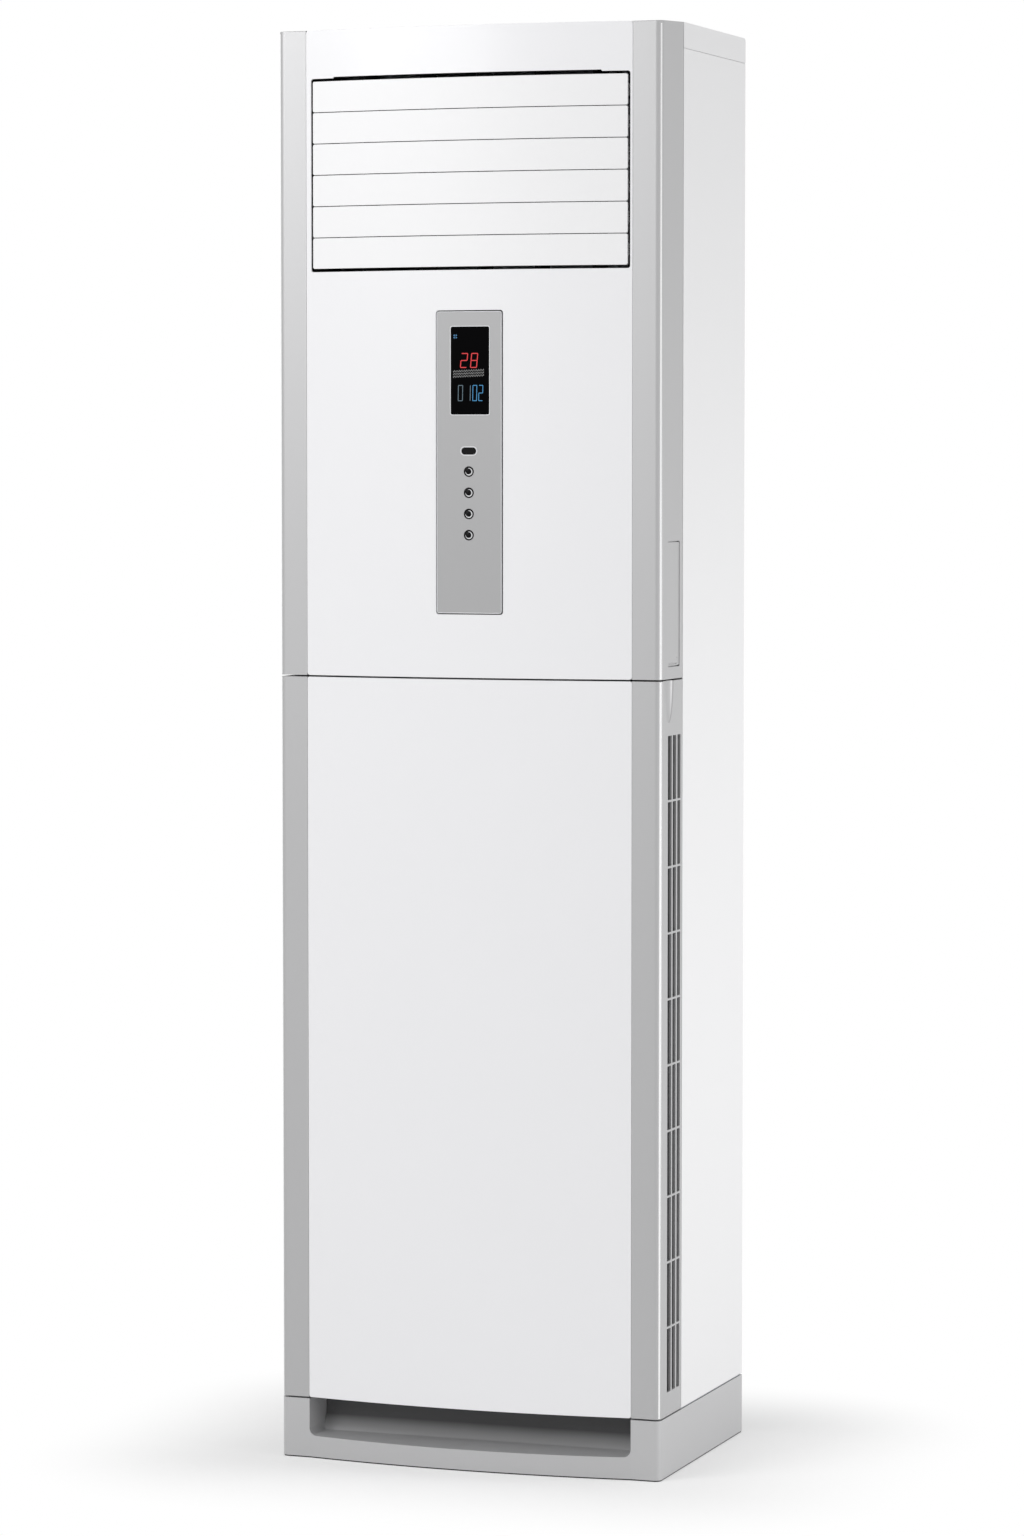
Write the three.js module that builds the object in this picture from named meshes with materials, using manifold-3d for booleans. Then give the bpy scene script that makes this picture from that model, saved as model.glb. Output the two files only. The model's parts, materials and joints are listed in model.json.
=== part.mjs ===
// Floor standing air conditioner: an upright cabinet with a bowed front, a side-hung door,
// a louvred air outlet, a slanted coil and a centrifugal blower.
// Millimetres. x to the viewer's right, z up, y to the rear.
// Inside the cabinet group y is the depth behind the front face of the corner pillars.
import * as THREE from 'three';
import { mergeVertices } from 'three/addons/utils/BufferGeometryUtils.js';
import Module from 'manifold-3d';

const wasm = await Module();
wasm.setup();

// ---- Cabinet ----
const WIDTH = 480;
const BODY_DEPTH = 330; // pillar face to rear
const BULGE = 15; // the front panels swell past the pillars
const TOP_FALL = 4.5; // the top falls this much towards the front
const PLINTH_TOP = 72;
const DOOR_HEIGHT = 869.6;
const HEAD_HEIGHT = 62.5; // above the outlet
const COVER_SKIRT = 30; // height of the top cover's sides
const PILLAR_WIDTH = 35.5;
const PILLAR_DEPTH = 83;
const CORNER_RADIUS = 8;
const REAR_EDGE_RADIUS = 4;

// ---- Walls and gaps ----
const FIT = 0.3; // between fixed neighbours
const SEAM = 2; // shadow line at the foot and the top of the door
const SHELL = 2.8; // moulded plastic
const SHEET = 1; // sheet steel
const CUT = 1; // how far a cutting block reaches past a wall
const FLANGE = 15; // folded edge of a sheet panel
const PANEL_RETURN = 20; // rim of a front panel, behind its face
const PILLAR_RETURN = 30; // inner wall of a pillar

// ---- Toe recess ----
const TOE_MARGIN = 39;
const TOE_LIP = 25.5;
const TOE_DEPTH = 45;
const TOE_RADIUS = 9;
const FOOT_FLANGE = 12;

// ---- Door ----
const HINGE_INSET = 6; // pin axis from the side and the rear of the door
const HINGE_PIN_RADIUS = 2;
const HINGE_PIN_LENGTH = 11;
const HINGE_HOLE_DEPTH = 14;
const PIN_PLAY = 0.3;
const LINK_PLAY = 0.5;
const VENT_COLUMNS = [[27, 41.4], [46, 58.4], [63.5, 75]];
const VENT_FOOT = 28; // above the foot of the door
const VENT_HEAD = 64.6; // below the top of the door
const VENT_ROWS = 10;
const VENT_RIB = 2.4;
const VENT_CUT = 3.2;
const SCOOP_Y = 30;
const SCOOP_RADII = [9, 18, 55];
const SCOOP_BACKING = 12;

// ---- Side inset of the upper pillars ----
const INSET_Y = [26, 71];
const INSET_RISE = 15.4; // above the foot of the upper pillar
const INSET_HEIGHT = 145;
const INSET_STEP = 0.8; // sunk below the pillar's side
const INSET_LAP = 3;

// ---- Air outlet ----
const OUTLET_MARGIN = 4;
const OUTLET_RISE = 50; // above the fascia
const OUTLET_HEIGHT = 226;
const OUTLET_NOTCH_INSET = 32.5;
const OUTLET_NOTCH = 2.5;
const LOUVRE_COUNT = 6;
const LOUVRE_EDGE_GAP = 2;
const LOUVRE_SLIT = 1;
const LOUVRE_WALL = 2.5;
const LOUVRE_PIVOT_Y = 8;
const LOUVRE_PIN_RADIUS = 2.5;
const LUG_WALL = 3;
const CRANK_ARM = 12;
const CRANK_HALF_WIDTH = 3.5;
const CRANK_WALL = 2.5;
const CRANK_PIN_RADIUS = 1.5;
const LINK_WALL = 2;
const LINK_HALF_WIDTH = 4;
const DUCT_WALL = 2.5;
const DUCT_FOOT_ROOM = 3; // below the outlet
const DUCT_HEAD_ROOM = 10.5; // for the bowed blades as they turn
const DUCT_REAR = 100;
const DUCT_FLOOR = 3.5;

// ---- Upright vanes ----
const VANE_COUNT = 5;
const VANE_END = 56.5; // outer vane to the end of the outlet
const VANE_PIVOT_Y = 52;
const VANE_FRONT = 16;
const VANE_REAR = 34;
const VANE_WALL = 2;
const VANE_PIN_RADIUS = 2;
const VANE_CRANK_ARM = 10;
const VANE_CRANK_DROP = 3; // duct floor to crank
const VANE_MOTOR_RADIUS = 14;
const VANE_MOTOR_HEIGHT = 18;
const VANE_MOTOR_DROP = 14; // duct floor to the top of the motor
const VANE_EAR = [6, 11];
const VANE_EAR_DEPTH = 4;
const LOUVRE_MOTOR_WIDTH = 18;
const LOUVRE_MOTOR_REAR = 40;
const LOUVRE_MOTOR_HALF = 11;
const LOUVRE_CAN_RADIUS = 9.5;
const LOUVRE_CAN_LENGTH = 12;
const LOUVRE_CAN_Y = 27;

// ---- Control fascia ----
const FASCIA_X = [-32, 48];
const FASCIA_RISE = 75.9; // above the foot of the upper panel
const FASCIA_HEIGHT = 355;
const FASCIA_PROUD = 0.8;
const FASCIA_WALL = 2.5;
const FASCIA_DEPTH = 6.8;
const FASCIA_LAP = 6;
const WINDOW_MARGINS = [16.5, 15.4];
const WINDOW_HEAD = 18; // below the top of the fascia
const WINDOW_HEIGHT = 103.1;
const WINDOW_LAP = 2;
const BUTTON_PROUD = 0.6;
const BUTTON_TRAVEL = 1;
const BUTTON_RADIUS = 5.25;
const BUTTON_PLAY = 0.35;
const BUTTON_LAP = 1.75;
const BUTTON_X = 7;
const POWER_DROP = 42.8; // below the window
const FIRST_BUTTON_DROP = 24.1; // below the power button
const BUTTON_PITCH = 24.9;
const ROUND_BUTTONS = ['mode_button', 'fan_button', 'up_button', 'down_button'];
const POWER_HALF_LENGTH = 9;
const POWER_RADIUS = 4;
const BOARD_WALL = 1.6;
const BOARD_DROP = 8; // fascia wall to board
const SWITCH_HEIGHT = 2.3;

// ---- Air chambers ----
const DECK_Z = 640;
const DECK_WALL = 2;
const COIL_COVER_LAP = 14.4; // above the foot of the upper panel
const PAN_LIP_Z = 90;
const GRILLE_DEPTH = 7.4;
const GRILLE_MARGIN = 4;
const GRILLE_WALL = 2.7;
const GRILLE_RAIL = 3;
const GRILLE_LIP = 10;
const GRILLE_LIP_WALL = 1.2;
const GRILLE_COLUMNS = 3;
const GRILLE_ROWS = 13;
const GRILLE_BAR = 8;
const FILTER_WALL = 2.8;
const FILTER_RIM = 10;
const FILTER_MESH = 0.6;
const FILTER_TAB = 25; // half the width of the pull tab

// ---- Blower ----
const FAN_X = -12;
const FAN_Z = 325;
const HOUSING_FRONT = 160;
const HOUSING_TAIL = 70; // to the rear of the cabinet
const HOUSING_WALL = 2;
const SCROLL_START = Math.PI / 3;
const SCROLL_RADII = [156, 222];
const SCROLL_STEPS = 26;
const HOUSING_LEGS = [-144, 100];
const LEG_WIDTH = 12;
const LEG_INSET = 4;
const MOTOR_OPENING = 58;
const EYE_RADIUS = 109.5;
const EYE_WALL = 2.5;
const WHEEL_PLAY = 8;
const WHEEL_RADIUS = 138;
const WHEEL_EYE = 116;
const WHEEL_PLATE = 2;
const BLADE_COUNT = 28;
const BLADE_CHORD = 22;
const BLADE_WALL = 1.6;
const BLADE_ANGLE = 0.6;
const HUB_RADIUS = 22;
const SHAFT_RADIUS = 6;
const HUB_LENGTH = 27;
const SHAFT_NOSE = 3; // past the hub
const SHAFT_SEAT = 14; // into the motor
const MOTOR_RADIUS = 60;
const MOTOR_GAP = 2.6;
const MOTOR_TAIL = 8;
const COLLAR_WALL = 3.7;
const COLLAR_PLATE = 2.5;
const COLLAR_RADIUS = 100;
const COLLAR_DEPTH = 30;

// ---- Coil ----
const COIL_HEAD_GAP = 22.4; // the coil's middle to the rear panel, at its top
const COIL_LENGTH = 500;
const COIL_WALL = 40;
const COIL_MARGINS = [12, 50];
const COIL_FOOT_Y = 118;
const COIL_PLATE = 1.5;
const FIN_SLOTS = 22;
const FIN_SLOT_WIDTH = 1.6;
const FIN_SLOT_DEPTH = 3;
const BEND_COUNT = 7;
const BEND_RADIUS = 10;
const BEND_TUBE = 3.5;
const DRAIN_PAN_FRONT = 3; // behind the coil cover's face
const DRAIN_PAN_DEPTH = 64;
const DRAIN_PAN_MARGINS = [4, 28];
const DRAIN_PAN_HEIGHT = 38;
const PIPE_INSET = 18;
const GAS_RADIUS = 8;
const LIQUID_RADIUS = 4.8;
const DRAIN_RADIUS = 7.5;
const GAS_TAIL = 32; // to the rear of the cabinet
const LIQUID_TAIL = 60;
const GAS_EXIT_Z = 256;
const LIQUID_EXIT_Z = 232;
const PIPE_BEND = 22;
const PIPE_TAIL = 4;
const PIPE_HOLE_SHIFT = 6;
const PIPE_HOLE_RADIUS = 32;
const DRAIN_INSET = 40;
const DRAIN_Y = 118;
const DRAIN_EXIT_Z = 130;
const PIPE_HOLE_PLAY = 3;

// ---- Electrical parts ----
const EBOX_MARGIN = 15;
const EBOX_WIDTH = 180;
const EBOX_Y = [96, 205];
const EBOX_HEIGHT = 115;
const EBOX_WALL = 2;
const CAPACITOR_RADIUS = 17;
const CAPACITOR_HEIGHT = 72;
const TAG_HEIGHT = 9;
const TAG_HALF = 3;
const TAG_OFFSET = 4;
const BOARD_MARGIN = 6;
const BOARD_STANDOFF = 5;
const TRANSFORMER = [22, 32, 26, 30]; // inset, width, depth and height
const RELAY_BANK = [54, 45, 18, 40];
const TERMINAL_BLOCK = [90, 40, 12, 22];
const PART_PITCH = 26;
const PART_FOOT = 16;
const POST_INSET = 12;
const POST_RADIUS = 3;
const CAPACITOR_INSET = 30;
const CAPACITOR_Y = 140;
const GROMMET_INSET = 50;
const GROMMET_Z = 140;
const GROMMET_NECK = 10;
const GROMMET_FLANGE = 13;
const GROMMET_BORE = 6;
const BRACKET_MARGIN = 40;
const BRACKET_DROP = 55; // below the top
const BRACKET_HEIGHT = 60;
const BRACKET_SLOT_HALF = 8;
const BRACKET_SLOT_RADIUS = 4;

// ---- Places across the cabinet ----
const SIDE = WIDTH / 2;
const PANEL_HALF = SIDE - PILLAR_WIDTH;
const PANEL_X = PANEL_HALF - FIT;
const SHEET_INNER = SIDE - SHEET - FIT; // where sheets between the side panels end
const TOE_HALF = SIDE - TOE_MARGIN;
const OUTLET_HALF = PANEL_HALF - OUTLET_MARGIN;
const OUTLET_NOTCH_HALF = OUTLET_HALF - OUTLET_NOTCH_INSET;
const LOUVRE_HALF = OUTLET_HALF - LOUVRE_EDGE_GAP;
const DUCT_SIDE = OUTLET_HALF + FIT;
const DUCT_OUTER = DUCT_SIDE + DUCT_WALL;
const CRANK_X = -(DUCT_OUTER + LOUVRE_EDGE_GAP);
const LINK_X = CRANK_X - CRANK_WALL - LINK_PLAY;
const VANE_PITCH = (2 * (OUTLET_HALF - VANE_END)) / (VANE_COUNT - 1);
const HINGE_X = -SIDE + HINGE_INSET;
const WINDOW_X = [FASCIA_X[0] + WINDOW_MARGINS[0], FASCIA_X[1] - WINDOW_MARGINS[1]];
const GRILLE_HALF = SIDE - GRILLE_MARGIN;
const COIL_X = [COIL_MARGINS[0] - SIDE, SIDE - COIL_MARGINS[1]];
const DRAIN_PAN_X = [DRAIN_PAN_MARGINS[0] - SIDE, SIDE - DRAIN_PAN_MARGINS[1]];
const PIPE_X = SIDE - PIPE_INSET;
const DRAIN_X = SIDE - DRAIN_INSET;
const EBOX_X = [EBOX_MARGIN - SIDE, EBOX_MARGIN - SIDE + EBOX_WIDTH];
const CAPACITOR_X = EBOX_X[1] - CAPACITOR_INSET;
const GROMMET_X = GROMMET_INSET - SIDE;
const BRACKET_HALF = SIDE - BRACKET_MARGIN;

// ---- Places from the floor up ----
const DOOR_FOOT = PLINTH_TOP + SEAM;
const DOOR_TOP = DOOR_FOOT + DOOR_HEIGHT;
const UPPER_FOOT = DOOR_TOP + SEAM;
const FASCIA_FOOT = UPPER_FOOT + FASCIA_RISE;
const FASCIA_Z = [FASCIA_FOOT, FASCIA_FOOT + FASCIA_HEIGHT];
const OUTLET_Z0 = FASCIA_Z[1] + OUTLET_RISE;
const OUTLET_Z1 = OUTLET_Z0 + OUTLET_HEIGHT;
const HEIGHT = OUTLET_Z1 + HEAD_HEIGHT;
const FRONT_TOP = HEIGHT - TOP_FALL;
const SKIRT_Z = HEIGHT - COVER_SKIRT;
const VENT_Z0 = DOOR_FOOT + VENT_FOOT;
const VENT_Z1 = DOOR_TOP - VENT_HEAD;
const INSET_Z = [UPPER_FOOT + INSET_RISE, UPPER_FOOT + INSET_RISE + INSET_HEIGHT];
const WINDOW_TOP = FASCIA_Z[1] - WINDOW_HEAD;
const WINDOW_Z = [WINDOW_TOP - WINDOW_HEIGHT, WINDOW_TOP];
const POWER_Z = WINDOW_Z[0] - POWER_DROP;
const LOUVRE_PITCH = (OUTLET_HEIGHT - 2 * LOUVRE_EDGE_GAP) / LOUVRE_COUNT;
const LOUVRE_HEIGHT = LOUVRE_PITCH - LOUVRE_SLIT;
const DUCT_Z0 = OUTLET_Z0 - DUCT_FOOT_ROOM;
const DUCT_Z1 = OUTLET_Z1 + DUCT_HEAD_ROOM;
const DUCT_BOTTOM = DUCT_Z0 - DUCT_FLOOR;
const DUCT_TOP = DUCT_Z1 + DUCT_WALL;
const VANE_CRANK_Z = DUCT_BOTTOM - VANE_CRANK_DROP;
const VANE_LINK_Z = VANE_CRANK_Z - CRANK_WALL - LINK_PLAY;
const DECK_TOP = DECK_Z + DECK_WALL;
const HOUSING_TOP = DECK_Z - FIT;
const PAN_FLOOR = DECK_TOP + FIT + HOUSING_WALL;
const COIL_COVER_TOP = UPPER_FOOT + COIL_COVER_LAP;
const PIPE_HOLE_Z = (GAS_EXIT_Z + LIQUID_EXIT_Z) / 2;
const BRACKET_Z = [HEIGHT - BRACKET_DROP - BRACKET_HEIGHT, HEIGHT - BRACKET_DROP];

// ---- Places from the pillar face to the rear ----
const FRONT_RADIUS = (PANEL_HALF ** 2 + BULGE ** 2) / (2 * BULGE);
const FRONT_MOST = BULGE + FASCIA_PROUD + BUTTON_PROUD;
const FRONT_Y = FRONT_MOST - (BODY_DEPTH + FRONT_MOST) / 2;
const FASCIA_FACE = -(BULGE + FASCIA_PROUD);
const FASCIA_INNER = FASCIA_FACE + FASCIA_WALL;
const BOARD_Y = FASCIA_INNER + BOARD_DROP + FIT;
const SIDE_FRONT = PILLAR_DEPTH + FIT;
const INNER_FRONT = SIDE_FRONT + SHEET + FIT;
const HINGE_Y = PILLAR_DEPTH - HINGE_INSET;
const GRILLE_FRONT = INNER_FRONT;
const GRILLE_REAR = GRILLE_FRONT + GRILLE_DEPTH;
const COIL_COVER_Y = GRILLE_REAR - SHEET;
const DRAIN_PAN_Y = [COIL_COVER_Y + DRAIN_PAN_FRONT, COIL_COVER_Y + DRAIN_PAN_FRONT + DRAIN_PAN_DEPTH];
const PANEL_BACK = BODY_DEPTH - 2 * SHEET - FIT; // front face of the rear panel
const INNER_REAR = PANEL_BACK - FIT;
const HOUSING_Y = [HOUSING_FRONT, BODY_DEPTH - HOUSING_TAIL];
const WHEEL_Y = [HOUSING_Y[0] + WHEEL_PLAY, HOUSING_Y[1] - WHEEL_PLAY];
const MOTOR_Y = [HOUSING_Y[1] + MOTOR_GAP, BODY_DEPTH - MOTOR_TAIL];
const COLLAR_REAR = HOUSING_Y[1] + COLLAR_DEPTH;
const COIL_LEAN = Math.asin((PANEL_BACK - COIL_HEAD_GAP - COIL_FOOT_Y) / COIL_LENGTH); // top to the rear
const GAS_DROP_Y = BODY_DEPTH - GAS_TAIL;
const LIQUID_DROP_Y = BODY_DEPTH - LIQUID_TAIL;
const PIPE_END_Y = BODY_DEPTH - PIPE_TAIL;

// ---- Finishes ----
const finish = (color, roughness, metalness) => ({ color, roughness, metalness });
const WHITE_PANEL = finish(0xeeeef0, 0.35, 0);
const SIDE_SHEET = finish(0xe4e4e6, 0.5, 0);
const GREY_SHELL = finish(0xb9babb, 0.4, 0);
const LOUVRE_WHITE = finish(0xe6e7e8, 0.4, 0);
const DARK_PLASTIC = finish(0x3a3c3e, 0.6, 0);
const BLACK_WINDOW = finish(0x101114, 0.08, 0);
const KEY_GREY = finish(0xd2d3d5, 0.4, 0);
const ZINC_SHEET = finish(0xa9adb0, 0.45, 0.8);
const INNER_WHITE = finish(0xdadcdd, 0.6, 0);
const FIN_METAL = finish(0xc3c7cb, 0.4, 0.9);
const COPPER = finish(0xb87048, 0.35, 0.9);
const BOARD_GREEN = finish(0x2c5a3c, 0.5, 0);
const STEEL = finish(0x8b8f93, 0.4, 0.9);
const RUBBER_BLACK = finish(0x1b1b1c, 0.8, 0);
const FILTER_BLUE = finish(0x5f7f92, 0.7, 0);

// ---- Solids ----
const ARC_STEPS = 6;
const ROUND_STEPS = 16;
const PIN_STEPS = 10;
const WHEEL_STEPS = 28;
const BOW_STEP = 30;
const X_AXIS = new THREE.Vector3(1, 0, 0);
const Y_AXIS = new THREE.Vector3(0, 1, 0);
const Z_AXIS = new THREE.Vector3(0, 0, 1);

function toSolid(geometry) {
  geometry.deleteAttribute('normal');
  geometry.deleteAttribute('uv');
  const merged = mergeVertices(geometry, 1e-4);
  const vertProperties = merged.attributes.position.array;
  const triVerts = new Uint32Array(merged.index.array);
  return new wasm.Manifold(new wasm.Mesh({ numProp: 3, vertProperties, triVerts }));
}

function toGeometry(solid) {
  const mesh = solid.getMesh();
  const geometry = new THREE.BufferGeometry();
  geometry.setAttribute('position', new THREE.BufferAttribute(mesh.vertProperties, 3));
  geometry.setIndex(new THREE.BufferAttribute(mesh.triVerts, 1));
  return geometry;
}

function joined(...solids) {
  return solids.reduce((whole, piece) => whole.add(piece));
}

function without(whole, ...cuts) {
  return cuts.reduce((rest, cut) => rest.subtract(cut), whole);
}

function polygon(points) {
  return new THREE.Shape(points.map(([a, b]) => new THREE.Vector2(a, b)));
}

function extruded(shape, length) {
  return new THREE.ExtrudeGeometry(shape, { depth: length, bevelEnabled: false, curveSegments: ARC_STEPS });
}

// shape in (x, y), from z0 to z1
function prismZ(shape, z0, z1) {
  return toSolid(extruded(shape, z1 - z0).translate(0, 0, z0));
}

// shape in (y, z), from x0 to x1
function prismX(shape, x0, x1) {
  const turn = new THREE.Matrix4().makeBasis(Y_AXIS, Z_AXIS, X_AXIS);
  return toSolid(extruded(shape, x1 - x0).applyMatrix4(turn).translate(x0, 0, 0));
}

// shape in (x, z), from y0 to y1
function prismY(shape, y0, y1) {
  const turn = new THREE.Matrix4().makeBasis(X_AXIS, Z_AXIS, Y_AXIS.clone().negate());
  return toSolid(extruded(shape, y1 - y0).applyMatrix4(turn).translate(0, y1, 0));
}

function block(xa, xb, ya, yb, za, zb) {
  const geometry = new THREE.BoxGeometry(Math.abs(xb - xa), Math.abs(yb - ya), Math.abs(zb - za));
  return toSolid(geometry.translate((xa + xb) / 2, (ya + yb) / 2, (za + zb) / 2));
}

function rod(axis, radius, from, to, a, b, steps = ROUND_STEPS) {
  const geometry = new THREE.CylinderGeometry(radius, radius, to - from, steps);
  const middle = (from + to) / 2;
  if (axis === 'x') return toSolid(geometry.rotateZ(Math.PI / 2).translate(middle, a, b));
  if (axis === 'y') return toSolid(geometry.translate(a, middle, b));
  return toSolid(geometry.rotateX(Math.PI / 2).translate(a, b, middle));
}

// closed profile of [radius, y] turned about a line along y through (x, z)
function turnedY(profile, x, z, steps) {
  const points = [...profile, profile[0]].map(([r, y]) => new THREE.Vector2(r, y));
  return toSolid(new THREE.LatheGeometry(points, steps).translate(x, 0, z));
}

function arcPoints(cx, cy, radius, from, to, steps = ARC_STEPS) {
  const points = [];
  for (let i = 0; i <= steps; i += 1) {
    const angle = from + ((to - from) * i) / steps;
    points.push([cx + radius * Math.cos(angle), cy + radius * Math.sin(angle)]);
  }
  return points;
}

function rectangle(a0, a1, b0, b1) {
  return polygon([[a0, b0], [a1, b0], [a1, b1], [a0, b1]]);
}

// a bar with round ends between two points
function stadium(ax, ay, bx, by, radius) {
  const angle = Math.atan2(by - ay, bx - ax);
  const far = arcPoints(bx, by, radius, angle - Math.PI / 2, angle + Math.PI / 2);
  const near = arcPoints(ax, ay, radius, angle + Math.PI / 2, angle + 1.5 * Math.PI);
  return polygon([...far, ...near]);
}

// depth of the bowed front at x, or of a face that lies inset behind it
function frontAt(x, inset = 0) {
  return FRONT_RADIUS - BULGE - Math.sqrt((FRONT_RADIUS - inset) ** 2 - x * x);
}

function bowPoints(x0, x1, inset) {
  const steps = Math.ceil((x1 - x0) / BOW_STEP);
  const points = [];
  for (let i = 0; i <= steps; i += 1) {
    const x = x0 + ((x1 - x0) * i) / steps;
    points.push([x, frontAt(x, inset)]);
  }
  return points;
}

function bowedPlate(x0, x1, inset, wall) {
  return polygon([...bowPoints(x0, x1, inset), ...bowPoints(x0, x1, inset + wall).reverse()]);
}

function bowedBlock(x0, x1, inset, rear) {
  return polygon([...bowPoints(x0, x1, inset), [x1, rear], [x0, rear]]);
}

// a path that an extrusion samples exactly at its own points
class Route extends THREE.Curve {
  constructor(points) {
    super();
    this.points = points;
  }

  getUtoTmapping(u) {
    return u;
  }

  getPoint(t) {
    const place = t * (this.points.length - 1);
    const index = Math.min(Math.floor(place), this.points.length - 2);
    return this.points[index].clone().lerp(this.points[index + 1], place - index);
  }

  getTangent(t) {
    const index = Math.round(t * (this.points.length - 1));
    const here = this.points[index];
    const tangent = new THREE.Vector3();
    if (index > 0) tangent.add(here.clone().sub(this.points[index - 1]).normalize());
    if (index < this.points.length - 1) tangent.add(this.points[index + 1].clone().sub(here).normalize());
    return tangent.normalize();
  }
}

// a round tube along straight runs joined by bends
function pipe(corners, radius, bend, sides = 10, bendSteps = 4) {
  const places = corners.map((corner) => new THREE.Vector3(...corner));
  const path = [places[0]];
  for (let i = 1; i < places.length - 1; i += 1) {
    const into = places[i - 1].clone().sub(places[i]).normalize();
    const out = places[i + 1].clone().sub(places[i]).normalize();
    const start = places[i].clone().addScaledVector(into, bend);
    const end = places[i].clone().addScaledVector(out, bend);
    path.push(...new THREE.QuadraticBezierCurve3(start, places[i], end).getPoints(bendSteps));
  }
  path.push(places[places.length - 1]);
  const section = polygon(arcPoints(0, 0, radius, 0, 2 * Math.PI * (1 - 1 / sides), sides - 1));
  const settings = { steps: path.length - 1, bevelEnabled: false, extrudePath: new Route(path) };
  return toSolid(new THREE.ExtrudeGeometry(section, settings));
}

const cabinet = new THREE.Group();
cabinet.position.y = FRONT_Y;

function add(name, solid, look, parent = cabinet) {
  const mesh = new THREE.Mesh(toGeometry(solid), new THREE.MeshStandardMaterial(look));
  mesh.name = name;
  parent.add(mesh);
  return mesh;
}

function groupAt(x, y, z, parent = cabinet) {
  const group = new THREE.Group();
  group.position.set(x, y, z);
  parent.add(group);
  return group;
}

// ---- Cabinet pieces ----
function cabinetPlan(inset) {
  const half = SIDE - inset;
  const radius = CORNER_RADIUS - inset;
  const cornerX = SIDE - CORNER_RADIUS;
  const left = arcPoints(-cornerX, CORNER_RADIUS, radius, Math.PI, 1.5 * Math.PI);
  const right = arcPoints(cornerX, CORNER_RADIUS, radius, 1.5 * Math.PI, 2 * Math.PI);
  const rear = BODY_DEPTH - inset;
  const bow = bowPoints(-PANEL_HALF, PANEL_HALF, inset);
  return polygon([[-half, rear], ...left, ...bow, ...right, [half, rear]]);
}

function toeOutline(grow) {
  const half = TOE_HALF + grow;
  const lip = TOE_LIP - grow;
  const radius = TOE_RADIUS + grow;
  const left = arcPoints(-half + radius, lip + radius, radius, Math.PI, 1.5 * Math.PI);
  const right = arcPoints(half - radius, lip + radius, radius, 1.5 * Math.PI, 2 * Math.PI);
  const top = PLINTH_TOP + CUT;
  return polygon([[-half, top], ...left, ...right, [half, top]]);
}

function makePlinth() {
  const body = prismZ(cabinetPlan(0), 0, PLINTH_TOP);
  const hollow = prismZ(cabinetPlan(SHELL), -CUT, PLINTH_TOP - SHELL);
  const toeWalls = prismY(toeOutline(SHELL), -BULGE, TOE_DEPTH + SHELL).intersect(body);
  const toe = prismY(toeOutline(0), -BULGE - CUT, TOE_DEPTH);
  const flanges = [-1, 1].map((side) => {
    const outer = side * (SIDE - SHELL / 2);
    const inner = side * (SIDE - SHELL - FOOT_FLANGE);
    return block(outer, inner, TOE_DEPTH, BODY_DEPTH - SHELL / 2, 0, SHELL);
  });
  add('base_plinth', without(joined(without(body, hollow), toeWalls, ...flanges), toe), GREY_SHELL);
}

function makeBasePan() {
  const floor = PLINTH_TOP + FIT;
  const tray = block(-SHEET_INNER, SHEET_INNER, INNER_FRONT, INNER_REAR, floor, PAN_LIP_Z);
  const inner = SHEET_INNER - SHEET;
  const hollow = block(
    -inner, inner, INNER_FRONT + SHEET, INNER_REAR - SHEET, floor + SHEET, PAN_LIP_Z + CUT);
  add('base_pan', without(tray, hollow), ZINC_SHEET);
}

function makeSidePanel(name, side) {
  const inner = SIDE - SHEET;
  const folded = SIDE - FLANGE;
  const plan = [
    [SIDE, SIDE_FRONT], [SIDE, BODY_DEPTH], [folded, BODY_DEPTH], [folded, BODY_DEPTH - SHEET],
    [inner, BODY_DEPTH - SHEET], [inner, SIDE_FRONT + SHEET], [folded, SIDE_FRONT + SHEET],
    [folded, SIDE_FRONT],
  ].map(([x, y]) => [side * x, y]);
  add(name, prismZ(polygon(plan), DOOR_FOOT, SKIRT_Z - FIT), SIDE_SHEET);
}

function makeRearPanel() {
  const rear = PANEL_BACK + SHEET;
  const sheet = block(-SHEET_INNER, SHEET_INNER, PANEL_BACK, rear, DOOR_FOOT, SKIRT_Z - SHEET);
  const hole = (radius, x, z) => rod('y', radius, PANEL_BACK - CUT, rear + CUT, x, z);
  const pipes = hole(PIPE_HOLE_RADIUS, PIPE_X - PIPE_HOLE_SHIFT, PIPE_HOLE_Z);
  const drain = hole(DRAIN_RADIUS + PIPE_HOLE_PLAY, DRAIN_X, DRAIN_EXIT_Z);
  const cable = hole(GROMMET_NECK + FIT, GROMMET_X, GROMMET_Z);
  add('rear_panel', without(sheet, pipes, drain, cable), ZINC_SHEET);
}

function makeWallBracket() {
  const front = BODY_DEPTH - SHEET;
  const plate = block(-BRACKET_HALF, BRACKET_HALF, front, BODY_DEPTH, ...BRACKET_Z);
  const middle = (BRACKET_Z[0] + BRACKET_Z[1]) / 2;
  const slots = [-0.7, 0, 0.7].map((share) => {
    const x = share * BRACKET_HALF;
    return prismY(
      stadium(x - BRACKET_SLOT_HALF, middle, x + BRACKET_SLOT_HALF, middle, BRACKET_SLOT_RADIUS),
      front - CUT, BODY_DEPTH + CUT);
  });
  add('wall_bracket', without(plate, ...slots), ZINC_SHEET);
}

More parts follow.
